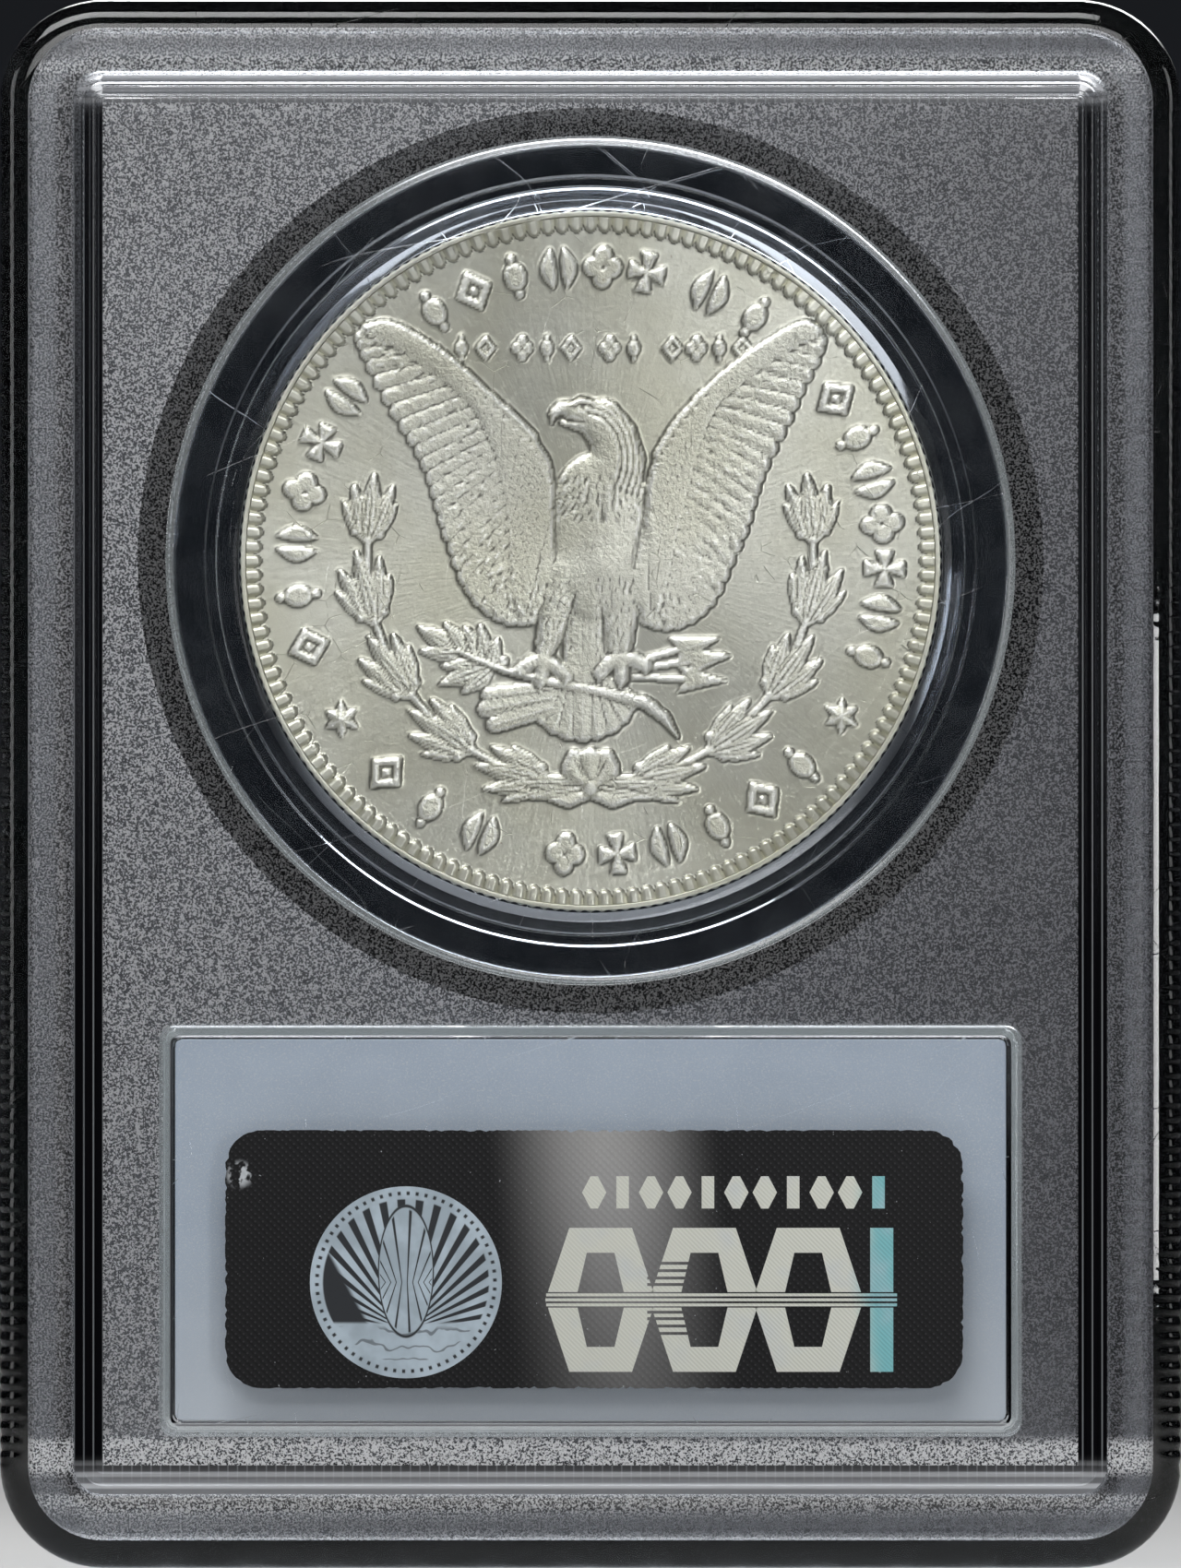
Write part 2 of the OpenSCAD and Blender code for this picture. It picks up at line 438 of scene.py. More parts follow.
def make_card_front():
    """The card's print, with no lettering: waves, a double border, plain bars and a lozenge."""
    g = Graph("card_front")
    place = g.place()
    x, _, z = g.axes(g.vector("SUBTRACT", place, (0.0, 0.0, CARD_Z)))

    swing = g.times(g.sine(g.times(x, 0.85)), 1.6)
    guilloche = g.most(*(
        g.ramp(g.sine(g.scaled(z, way, swing)), 0.80, 0.98) for way in (9.0, -9.0)
    ))
    inset = g.most(g.minus(g.size(x), CARD_W / 2), g.minus(g.size(z), CARD_H / 2))
    border = (g.between(inset, -1.5, -1.2, 0.03), g.between(inset, -0.95, -0.85, 0.02))
    bars = (
        g.times(g.between(x, x0, x1, 0.03), g.between(z, z0, z1, 0.03))
        for x0, x1, z0, z1 in (
            (9.0, 19.5, 4.9, 6.6),
            (2.0, 7.6, 4.9, 6.6),
            (5.5, 19.5, 2.3, 3.5),
            (11.5, 19.5, 0.1, 1.1),
            (6.4, 10.3, 0.1, 1.1),
        )
    )
    lozenge = g.plus(g.size(g.plus(x, 12.8)), g.size(z))
    emblem = (g.between(lozenge, 5.2, 6.3, 0.04), g.fall(lozenge, 2.9, 3.0))
    strip = g.between(g.size(g.minus(x, 10.0)), -1.0, 9.5, 0.05)
    strip = g.times(strip, g.between(z, -7.2, -3.2, 0.03))
    pattern = g.plus(g.sine(g.times(x, 9.3)), g.sine(g.times(x, 5.1)))
    stripes = g.times(strip, g.ramp(pattern, 0.25, 0.40))
    fibres = g.noise(place, 5.0, 2.0, 0.6)
    paper = g.blend(g.ramp(fibres, 0.35, 0.7), (0.56, 0.68, 0.78), (0.50, 0.62, 0.72))
    paper = g.blend(g.ramp(guilloche, 0.0, 1.0, 0.0, 0.35), paper, (0.28, 0.42, 0.56))
    paper = g.blend(strip, paper, (0.74, 0.78, 0.81))
    return g.painted(
        Base_Color=g.blend(g.most(*bars, *emblem, *border, stripes), paper, (0.035, 0.055, 0.10)),
        Roughness=0.55,
        Specular_IOR_Level=0.35,
        Normal=g.bump(fibres, 0.01),
    )


def make_silver():
    """Struck silver: frosty lustre along radial flow lines, painted shade in the relief's feet and
    cuts, a painted highlight on its raised edges, toning.
    """
    g = Graph("silver_struck")
    place = g.place()
    x, y, z = g.axes(g.vector("SUBTRACT", place, (0.0, 0.0, COIN_Z)))
    radius = g.vector("LENGTH", g.joined(x, z))
    angle = g.maths("ARCTAN2", z, x)
    raised = g.node("Attribute", attribute_name="raised").outputs["Fac"]
    painted_shading = g.node("Attribute", attribute_name="painted_shading").outputs["Fac"]
    flow = g.noise(g.joined(g.times(angle, 60.0), g.times(radius, 0.45), y), 1.0, 2.0)
    grain = g.noise(place, 8.0, 2.0, 0.6)
    flecks = g.times(g.noise(place, 4.2, 3.0, 0.65), raised)
    lustre = g.bump(g.scaled(flow, 0.6, g.times(grain, 0.4)), 0.014)
    worked = g.bump(flecks, 0.055, lustre)
    marks = g.fall(g.cells(place, 0.55, "DISTANCE_TO_EDGE"), 0.0, 0.012)
    nicks = g.times(marks, g.ramp(g.noise(place, 0.6, 1.0), 0.60, 0.64))
    toning = g.ramp(g.noise(place, 0.14, 3.0), 0.35, 0.7)
    base = g.blend(toning, (0.70, 0.69, 0.60), (0.61, 0.595, 0.485))
    worn = g.blend(g.ramp(flecks, 0.30, 0.62, 1.0, 0.86), (0.42, 0.40, 0.34), base)
    worn = g.blend(g.ramp(grain, 0.36, 0.56, 0.10, 0.0), worn, (0.34, 0.33, 0.29))
    # Painted shade in the relief's feet and cuts, and a painted highlight on its raised edges.
    shaded = g.blend(g.ramp(painted_shading, 0.15, 0.95, 0.0, 0.66), worn, (0.045, 0.042, 0.038))
    lit = g.blend(g.ramp(painted_shading, -0.9, -0.25, 0.55, 0.0), shaded, (1.0, 0.99, 0.95))
    specks = g.ramp(g.noise(place, 2.2, 1.0), 0.78, 0.82, 0.0, 0.5)
    turned = g.node(
        "VectorTransform", vector_type="VECTOR", convert_from="OBJECT", convert_to="WORLD"
    )
    return g.painted(
        Base_Color=g.blend(specks, lit, (0.20, 0.15, 0.10)),
        Metallic=1.0,
        Roughness=g.ramp(grain, 0.3, 0.7, 0.28, 0.36),
        Anisotropic=0.55,
        Tangent=g.fill(turned, (g.joined(g.times(z, -1.0), 0.0, x),)),
        Normal=g.bump(nicks, -0.02, worked),
    )


def make_foil():
    """Dark woven foil: a soft lighter band of painted reflection in the middle, dust, and a scuffed
    corner.
    """
    g = Graph("foil_dark")
    place = g.place()
    x, _, z = g.axes(place)
    weave = g.times(g.wave(x, 0.42), g.wave(z, 0.42))
    # Painted reflection: a soft lighter band down the middle, leaning a little and brighter towards
    # the top.
    lean = g.scaled(z, 0.10, g.minus(x, SEAL_X + 2.8))
    painted_reflection = g.times(
        g.fall(g.size(lean), 0.0, 6.5), g.ramp(z, SEAL_Z - 8.0, SEAL_Z + 6.5, 0.35, 1.0)
    )
    colour = g.blend(painted_reflection, (0.011, 0.011, 0.012), (0.42, 0.415, 0.41))
    thread = g.blend(painted_reflection, (0.075, 0.075, 0.08), (0.5, 0.5, 0.49))
    colour = g.blend(g.ramp(weave, 0.55, 0.95, 0.0, 0.5), colour, thread)
    dust = g.ramp(g.noise(place, 3.6, 2.0, 0.6), 0.735, 0.76, 0.0, 0.7)
    away = g.joined(g.minus(x, SEAL_X - 19.2), g.minus(z, SEAL_Z + 4.6))
    corner = g.fall(g.vector("LENGTH", away), 0.35, 0.9)
    torn = g.times(corner, g.ramp(g.noise(place, 2.0, 2.0), 0.46, 0.54))
    return g.painted(
        Base_Color=g.blend(g.most(dust, torn), colour, (0.62, 0.65, 0.68)),
        Metallic=0.15,
        Roughness=g.ramp(weave, -1.0, 1.0, 0.42, 0.55),
        Specular_IOR_Level=0.25,
        Coat_Weight=0.06,
        Coat_Roughness=0.15,
        Normal=g.bump(weave, 0.010),
    )


def make_print():
    """Pale diffraction print: cream, with a cyan end and a faint violet fringe."""
    g = Graph("foil_print")
    x, _, z = g.axes(g.place())
    drift = g.noise(g.joined(x, z), 0.35, 2.0)
    end = g.ramp(g.scaled(drift, 1.6, x), SEAL_X + 14.6, SEAL_X + 16.4)
    base = g.blend(end, (0.82, 0.83, 0.74), (0.24, 0.62, 0.66))
    colour = g.blend(g.ramp(drift, 0.5, 0.8, 0.0, 0.5), base, (0.66, 0.72, 0.80))
    lines = g.wave(g.plus(x, z), 0.25)
    return g.painted(
        Base_Color=g.blend(g.ramp(lines, 0.2, 1.0, 0.0, 0.12), colour, (0.30, 0.33, 0.34)),
        Metallic=0.2,
        Roughness=0.38,
        Coat_Weight=0.2,
        Coat_Roughness=0.12,
        Normal=g.bump(lines, 0.003),
    )


def make_medallion():
    """The seal's round vignette in pale foil: a sheaf before a fan of rays and a dark sky."""
    g = Graph("foil_medallion")
    place = g.place()
    x, _, z = g.axes(g.vector("SUBTRACT", place, (MEDAL_X, 0.0, MEDAL_Z)))
    r = g.vector("LENGTH", g.joined(x, z))
    hub = g.plus(z, 2.6)
    rays = g.ramp(g.sine(g.times(g.maths("ARCTAN2", hub, x), 44.0)), 0.0, 0.4)
    far = g.fall(g.scaled(hub, 0.55, x), -2.0, -1.7)
    sky = g.times(g.ramp(hub, 0.3, 0.5), g.fall(r, 4.45, 4.55))
    sheaf = g.vector("LENGTH", g.joined(x, g.times(g.minus(z, 0.6), 0.42)))
    night = g.times(g.times(g.most(rays, far), sky), g.ramp(sheaf, 1.45, 1.52))
    stalks = g.sine(g.times(g.maths("DIVIDE", x, g.plus(g.size(z), 1.6)), 34.0))
    folds = g.times(g.ramp(stalks, 0.80, 0.95), g.fall(sheaf, 1.38, 1.44))
    rim = g.times(g.between(sheaf, 1.45, 1.52, 0.02), g.fall(r, 4.4, 4.5))
    mounds = g.sine(g.scaled(g.noise(place, 0.5, 2.0), 18.0, g.times(z, 6.0)))
    ground = g.times(g.ramp(mounds, 0.88, 0.97, 0.0, 0.6), g.fall(hub, 0.0, 0.3))
    ground = g.times(ground, g.fall(r, 4.3, 4.4))
    beads = g.ramp(g.sine(g.scaled(g.maths("ARCTAN2", z, x), 62.0, 0.0)), 0.2, 0.7)
    dots = g.times(beads, g.between(r, 4.72, 4.92, 0.05))
    dark = g.most(night, folds, dots, rim, ground)
    cloud = g.ramp(g.noise(place, 0.6, 3.0), 0.35, 0.65)
    pale = g.blend(cloud, (0.46, 0.55, 0.62), (0.62, 0.73, 0.82))
    return g.painted(
        Base_Color=g.blend(dark, pale, (0.030, 0.034, 0.040)),
        Metallic=0.25,
        Roughness=0.40,
        Normal=g.bump(dark, -0.006),
    )


def make_floor():
    g = Graph("floor_pale")
    tone = g.noise(g.place(), 0.02, 3.0)
    return g.painted(
        Base_Color=g.blend(tone, (0.38, 0.38, 0.38), (0.43, 0.43, 0.425)), Roughness=0.75
    )


# ---------------------------------------------------------------- mesh helpers
def polar(radius, angle, x=0.0, z=0.0):
    return x + radius * math.cos(angle), z + radius * math.sin(angle)


def plain_ring(radius, count, x=0.0, z=0.0):
    return [polar(radius, 2 * math.pi * i / count, x, z) for i in range(count)]


def partway(a, b, share):
    """The point that lies a share of the way from a to b."""
    return a[0] + (b[0] - a[0]) * share, a[1] + (b[1] - a[1]) * share


def round_rect(w, h, r, x=0.0, z=0.0, corner=6):
    """A rectangle with round corners, as points."""
    cx, cz = w / 2 - r, h / 2 - r
    points = []
    for sx, sz, start in ((1, 1, 0), (-1, 1, 90), (-1, -1, 180), (1, -1, 270)):
        for i in range(corner + 1):
            a = math.radians(start + 90 * i / corner)
            points.append(polar(r, a, x + sx * cx, z + sz * cz))
    return points


def filleted(points, radius, steps=3):
    """Rounds each inner corner of an open outline of (distance, depth) points."""
    made = [points[0]]
    for before, here, after in zip(points, points[1:], points[2:], strict=False):
        p, a, b = Vector(here), Vector(before), Vector(after)
        u, v = (a - p), (b - p)
        turn = math.pi - u.angle(v)
        if turn < math.radians(14):
            made.append(here)
            continue
        cut = min(radius * math.tan(turn / 2), u.length * 0.45, v.length * 0.45)
        start, end = p + u.normalized() * cut, p + v.normalized() * cut
        for i in range(steps + 1):
            t = i / steps
            q = start * (1 - t) ** 2 + p * (2 * t * (1 - t)) + end * t * t
            made.append((q.x, q.y))
    made.append(points[-1])
    return made


class Skin:
    """A closed surface made of rings of points. A zone is the index of a material slot."""

    def __init__(self, place):
        self.place = place
        self.flat = []
        self.verts = []
        self.faces = []
        self.zones = []
        self.marks = []

    def ring(self, outline, depth):
        first = len(self.verts)
        self.flat += outline
        self.verts += [self.place(x, z, depth) for x, z in outline]
        return list(range(first, len(self.verts)))

    def band(self, a, b, zone):
        n = len(a)
        for i in range(n):
            j = (i + 1) % n
            self.faces.append((a[i], a[j], b[j], b[i]))
            self.zones.append(zone)

    def stack(self, rings, zones):
        """Joins each ring to the next."""
        for a, b, zone in zip(rings, rings[1:], zones, strict=False):
            self.band(a, b, zone)

    def loop(self, rings):
        """Joins each ring to the next, and the last to the first, in the first slot."""
        self.stack([*rings, rings[0]], [0] * len(rings))

    def fill(self, outer, holes, zone):
        """Fills a flat region between an outer ring and the rings of its round holes."""
        ids, owners, edges = [], [], []
        for owner, ring in enumerate((outer, *holes)):
            start, n = len(ids), len(ring)
            ids += ring
            owners += [owner] * n
            edges += [(start + i, start + (i + 1) % n) for i in range(n)]
        points = [Vector(self.flat[i]) for i in ids]
        made = delaunay_2d_cdt(points, edges, [], 1, 1e-5)
        source = [orig[0] for orig in made[3]]
        for face in made[2]:
            corners = [source[i] for i in face]
            found = {owners[i] for i in corners}
            if found == {0} or len(found) > 1:  # a face on one hole's points alone lies in it
                self.faces.append(tuple(ids[i] for i in corners))
                self.zones.append(zone)

    def plate(self, outline, low, high):
        """A flat plate between two depths."""
        rings = [self.ring(outline, t) for t in (low, high)]
        self.band(*rings, 0)
        for ring in rings:
            self.fill(ring, [], 0)

    def object(self, name, materials, sharp=50.0):
        mesh = bpy.data.meshes.new(name)
        mesh.from_pydata(self.verts, [], self.faces)
        for material in materials:
            mesh.materials.append(material)
        mesh.polygons.foreach_set("material_index", self.zones)
        # marks are painted shading, kept as a point attribute.
        if self.marks:
            mesh.attributes.new("painted_shading", "FLOAT", "POINT").data.foreach_set("value", self.marks)
        return finished_object(name, mesh, sharp)


MERGE = 1e-6                  # metres between points that are one point


def finished_object(name, mesh, sharp, flats=True):
    """Welds double points, turns the faces outwards and shades smooth except at sharp edges.

    With flats, the shading's normals are weighted by face area, so flat faces stay flat up to
    their fillets.
    """
    bm = bmesh.new()
    bm.from_mesh(mesh)
    bmesh.ops.remove_doubles(bm, verts=bm.verts, dist=MERGE)
    bmesh.ops.dissolve_degenerate(bm, dist=MERGE / 10, edges=bm.edges)
    bmesh.ops.recalc_face_normals(bm, faces=bm.faces)
    bm.to_mesh(mesh)
    bm.free()
    mesh.shade_smooth()
    mesh.set_sharp_from_angle(angle=math.radians(sharp))
    made = bpy.data.objects.new(name, mesh)
    bpy.context.scene.collection.objects.link(made)
    if flats:
        weighting = made.modifiers.new("flats", "WEIGHTED_NORMAL")
        weighting.weight = 90
        weighting.keep_sharp = True
        shown = made.evaluated_get(bpy.context.evaluated_depsgraph_get())
        made.data = bpy.data.meshes.new_from_object(shown)
        made.data.name = name
        made.modifiers.clear()
    return made


def ride(piece, body, slot, *nodes):
    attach(piece, body)
    if nodes:
        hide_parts(*nodes)


# ---------------------------------------------------------------- shells
POLISHED, FROSTED, INSIDE, BEVEL, RIDGE, RIM, STEPS = range(7)
LONG_STEPS = 4 * round((SLAB_H - 2 * CORNER_R) / RIB_PITCH)
SHORT_STEPS = 12
CORNER_STEPS = 14
ROUND_SIDES = 240             # points round the coin's window, its pocket and its ring
SHARP = 38.0                  # degrees over which a moulded edge is shaded sharp


def slab_outline(inset, rib=0.0):
    """Points round the slab at a distance in from its edge; rib is the grip grooves' depth."""
    r = CORNER_R - inset
    cx, lo, hi = SLAB_W / 2 - CORNER_R, CORNER_R, SLAB_H - CORNER_R
    points = []

    def long_side(sign):
        for i in range(LONG_STEPS):
            t = i / LONG_STEPS
            z = lo + (hi - lo) * (t if sign > 0 else 1 - t)
            groove = rib * (1 - abs(math.sin(math.pi * i / 4)))
            points.append((sign * (cx + r - groove), z))

    def short_side(sign, z):
        for i in range(SHORT_STEPS):
            points.append((sign * cx * (1 - 2 * i / SHORT_STEPS), z))

    def corner(x, z, start):
        for i in range(CORNER_STEPS):
            points.append(polar(r, math.radians(start + 90 * i / CORNER_STEPS), x, z))

    long_side(1)
    corner(cx, hi, 0)
    short_side(1, hi + r)
    corner(-cx, hi, 90)
    long_side(-1)
    corner(-cx, lo, 180)
    short_side(-1, lo - r)
    corner(cx, lo, 270)
    return points


def bend(cx, cy, rx, ry, a0, a1, steps):
    """Part of an ellipse, from a0 to a1 degrees."""
    turns = (math.radians(a0 + (a1 - a0) * i / steps) for i in range(steps + 1))
    return [(cx + rx * math.cos(a), cy + ry * math.sin(a)) for a in turns]


def shell_section():
    """The frame's section as (inset, depth, groove share, zone of the face that follows)."""
    band = [(0.0, 0.0), (0.0, LAND * 0.5)] + bend(BAND, LAND, BAND, FOOT - LAND, 180, 90, 8)
    crest = bend(CREST_IN, FOOT + 0.06, CREST_IN - BAND, HALF_T - FOOT - 0.06, 176, 90, 8)
    slope = bend(CREST_OUT, HALF_T - 0.5, STEP_IN - CREST_OUT, 0.5, 90, 4, 9)
    steps = filleted(
        [
            (STEP_IN, HALF_T - 0.52),
            (STEP_IN, FIELD + 0.42),
            (STEP_IN + 0.45, FIELD + 0.42),
            (STEP_IN + 0.52, FIELD + 0.20),
            (CORNER_R - 0.45, FIELD + 0.20),
            (CORNER_R - 0.38, FIELD),
            (CORNER_R, FIELD),
        ],
        0.03,
    )
    rows = [(s, t, max(0.0, 1.0 - s / (BAND * 0.85)), POLISHED) for s, t in band]
    rows += [(s, t, 0.0, FROSTED) for s, t in crest + slope]
    rows += [(s, t, 0.0, STEPS) for s, t in steps]
    return rows


def make_shell(name, place):
    skin = Skin(place)
    rows = shell_section()
    rings = [skin.ring(slab_outline(s, RIB_DEPTH * share), t) for s, t, share, _ in rows]
    skin.stack(rings, [zone for _, _, _, zone in rows])
    field_edge = rings[-1]

    # Coin window: a bevel under painted dark haze, a thin ridge with a painted highlight, polished
    # floor.
    dish = filleted(
        [
            (BEVEL_R + 0.12, FIELD),
            (BEVEL_R, FIELD),
            (BEVEL_IN_R + 0.12, WINDOW + 0.20),
            (BEVEL_IN_R - 0.02, WINDOW + 0.20),
            (BEVEL_IN_R - 0.10, WINDOW + 0.10),
            (BEVEL_IN_R - 0.28, WINDOW),
            (BEVEL_IN_R - 0.9, WINDOW),
        ],
        0.04,
    )
    dish_rings = [skin.ring(plain_ring(r, ROUND_SIDES, 0.0, COIN_Z), t) for r, t in dish]
    zones = (
        BEVEL if r > BEVEL_IN_R + 0.13 else RIDGE if r > BEVEL_IN_R - 0.14 else POLISHED
        for r, _ in dish
    )
    skin.stack(dish_rings, zones)
    skin.fill(dish_rings[-1], [], POLISHED)

    # Label window: a ridge with a painted highlight, a rim with one step and painted reflection and
    # shade, and a polished floor.
    label = filleted(
        [
            (LABEL_RIM + 0.06, FIELD),
            (LABEL_RIM, FIELD),
            (LABEL_RIM - 0.05, FIELD - 0.15),
            (0.05, FIELD - 0.17),
            (0.0, SEAL_IN),
            (-0.3, SEAL_IN),
        ],
        0.05,
    )
    label_rings = []
    for d, t in label:
        r = max(0.5 + 0.5 * d, 0.2)
        outline = round_rect(WINDOW_W + 2 * d, WINDOW_H + 2 * d, r, 0.0, CARD_Z)
        label_rings.append(skin.ring(outline, t))
    zones = (
        RIDGE if d > LABEL_RIM - 0.10 else RIM if d > -0.02 else POLISHED for d, _ in label
    )
    skin.stack(label_rings, zones)
    skin.fill(label_rings[-1], [], POLISHED)
    skin.fill(field_edge, [dish_rings[0], label_rings[0]], FROSTED)

    # Parting face: flat land, weld groove, relieved middle with the two pockets.
    parting = [
        (0.0, 0.0),
        (WELD_IN, 0.0),
        (WELD_IN, WELD_HALF),
        (WELD_OUT, WELD_HALF),
        (WELD_OUT, 0.0),
        (RELIEF_IN, 0.0),
        (RELIEF_IN, RELIEF_GAP),
    ]
    inner = [rings[0]] + [skin.ring(slab_outline(s), t) for s, t in parting[1:]]
    skin.stack(inner, [INSIDE] * len(parting))
    mouths = []
    for outline, floor in (
        (plain_ring(POCKET_R, ROUND_SIDES, 0.0, COIN_Z), POCKET),
        (round_rect(WINDOW_W, WINDOW_H, 0.4, 0.0, CARD_Z), CARD_HALF),
    ):
        pocket = [skin.ring(outline, t) for t in (RELIEF_GAP, floor)]
        skin.band(*pocket, INSIDE)
        skin.fill(pocket[1], [], INSIDE)
        mouths.append(pocket[0])
    skin.fill(inner[-1], mouths, INSIDE)
    return skin.object(name, [polished, frosted, inside, bevel_painted_dark, ridge, rim, steps], SHARP)


def make_weld_bead():
    skin = Skin(place_back)
    near, far, half = WELD_IN + 0.02, WELD_OUT - 0.02, WELD_HALF - 0.02
    section = ((near, -half), (near, half), (far, half), (far, -half))
    skin.loop([skin.ring(slab_outline(s), t) for s, t in section])
    return skin.object("weld_bead_fused", [weld])


def make_coin_ring():
    bore = COIN_R + 0.05
    upper = filleted(
        [
            (bore, 0.0),
            (bore, RING_HALF - 0.38),
            (bore + 0.5, RING_HALF - 0.08),
            (bore + 1.15, RING_HALF - 0.08),
            (bore + 1.25, RING_HALF),
            (bore + 1.75, RING_HALF),
            (bore + 1.85, RING_HALF - 0.23),
            (RING_R, RING_HALF - 0.23),
            (RING_R, 0.0),
        ],
        0.06,
    )
    lower = [(r, -t) for r, t in reversed(upper[1:-1])]
    skin = Skin(place_back)
    section = upper + lower
    skin.loop([skin.ring(plain_ring(r, ROUND_SIDES, 0.0, COIN_Z), t) for r, t in section])
    return skin.object("coin_ring_soft", [ring_clear], SHARP)


# ---------------------------------------------------------------- card and seal
def make_card_piece():
    skin = Skin(place_back)
    edge = 0.05
    rings = []
    for d, t in (
        (-edge, -CARD_HALF),
        (0.0, -CARD_HALF + edge),
        (0.0, CARD_HALF - edge),
        (-edge, CARD_HALF),
    ):
        outline = round_rect(CARD_W + 2 * d, CARD_H + 2 * d, 0.3, 0.0, CARD_Z)
        rings.append(skin.ring(outline, t))
    skin.stack(rings, [1, 0, 0])
    skin.fill(rings[-1], [], 0)
    skin.fill(rings[0], [], 1)
    return skin.object("label_card_print", [card_back, card_front])


def ragged(outline, depth, seed):
    """A die-cut edge: dense points, each a little inside the outline."""
    rng = np.random.default_rng(seed)
    cut = []
    for a, b in zip(outline, outline[1:] + outline[:1], strict=True):
        parts = max(1, round(math.dist(a, b) / 0.22))
        for i in range(parts):
            x, z = partway(a, b, i / parts)
            pull = 1.0 - depth * rng.uniform(0.0, 1.0) ** 3 / math.hypot(x - SEAL_X, z - SEAL_Z)
            cut.append((SEAL_X + (x - SEAL_X) * pull, SEAL_Z + (z - SEAL_Z) * pull))
    return cut


def make_seal_piece():
    skin = Skin(place_back)
    base = round_rect(SEAL_W, SEAL_H, 2.0, SEAL_X, SEAL_Z, corner=12)
    skin.plate(ragged(base, 0.14, 21), SEAL_IN, SEAL_OUT)
    return skin.object("foil_seal_body", [foil])


def raised_print(name, material, shapes, low=0.0, high=0.008):
    """Thin raised print on the seal. A shape is an outline, or an outline and its hole's."""
    skin = Skin(place_back)
    for shape in shapes:
        depths = (SEAL_OUT + low, SEAL_OUT + high)
        if isinstance(shape[0][0], tuple):
            outer, inner = ([skin.ring(part, t) for t in depths] for part in shape)
            skin.loop([*outer, *reversed(inner)])
        else:
            skin.plate(shape, *depths)
    return skin.object(name, [material])


def box_outline(x0, x1, z0, z1):
    return [(x0, z0), (x1, z0), (x1, z1), (x0, z1)]


def hexagon(x, z, w, h, cut):
    """A hexagon with points at its left and right, w across and h high."""
    corners = ((-1, -1), (1, -1), (1, 0), (1, 1), (-1, 1), (-1, 0))
    return [(x + sx * (w / 2 - cut * abs(sz)), z + sz * h / 2) for sx, sz in corners]


def make_seal_prints():
    left, right = SEAL_X - 2.6, SEAL_X + 16.2
    low, high = SEAL_Z - 6.1, SEAL_Z + 1.7
    middle = (low + high) / 2
    tall = high - low
    centres = [left + 2.95 + 5.62 * k for k in range(3)]
    bold = [
        (hexagon(x, middle, 6.0, tall, 1.3), hexagon(x, middle, 2.7, tall - 2.7, 0.6))
        for x in centres
    ]
    bold.append(box_outline(right - 1.25, right, low, high))
    small = []
    for k in range(11):
        x = left + 2.6 + 1.54 * k
        if k % 3 == 1:
            small.append(box_outline(x - 0.34, x + 0.34, SEAL_Z + 2.75, SEAL_Z + 4.5))
        else:
            small.append(hexagon(x, SEAL_Z + 3.62, 1.32, 1.75, 0.46))
    band = [box_outline(left, right + 0.4, middle - 0.42, middle + 0.42)]
    x = centres[1]
    for d in (-1.9, -1.5, -1.1, -0.75, 0.75, 1.1, 1.5, 1.9):
        band.append(box_outline(x - 3.1, x - 0.6, middle + d, middle + d + 0.16))
    lines = [
        box_outline(left, right + 0.2, middle + d - 0.08, middle + d + 0.08)
        for d in (-0.27, 0.0, 0.27)
    ]
    disc = [plain_ring(MEDAL_R, 96, MEDAL_X, MEDAL_Z)]
    return [
        raised_print("foil_seal_bold", printed, bold),
        raised_print("foil_seal_row", printed, small),
        raised_print("foil_seal_band", foil, band, 0.004, 0.012),
        raised_print("foil_seal_lines", printed, lines, 0.008, 0.016),
        raised_print("foil_seal_medallion", medallion, disc),
    ]


# ---------------------------------------------------------------- coin
SINK = 0.3                    # depth of the struck fields below the rim
RIM_IN = COIN_R - 0.4         # inner edge of the flat rim
TEETH_IN = COIN_R - 1.22      # inner ends of the border's teeth
TEETH = 148
REEDS = 188
FIELD_DEPTH = COIN_HALF - SINK
GRID_STEP = 0.105


def curve(points, t):
    """A point on a smooth curve through given points, at t from 0 to 1."""
    pts = np.array(points, float)
    f = min(max(t, 0.0), 1.0) * (len(pts) - 1)
    i = min(int(f), len(pts) - 2)
    u = f - i
    a, b, c, d = (pts[min(max(i + k, 0), len(pts) - 1)] for k in (-1, 0, 1, 2))
    square, cube = 2 * a - 5 * b + 4 * c - d, 3 * b - a - 3 * c + d
    return 0.5 * (2 * b + (c - a) * u + square * u * u + cube * u**3)


def trace(points, start, end, count):
    return [tuple(curve(points, t)) for t in np.linspace(start, end, count)]


def blurred(h, passes):
    for _ in range(passes):
        h = (2 * h + np.roll(h, 1, 0) + np.roll(h, -1, 0)) / 4
        h = (2 * h + np.roll(h, 1, 1) + np.roll(h, -1, 1)) / 4
    return h


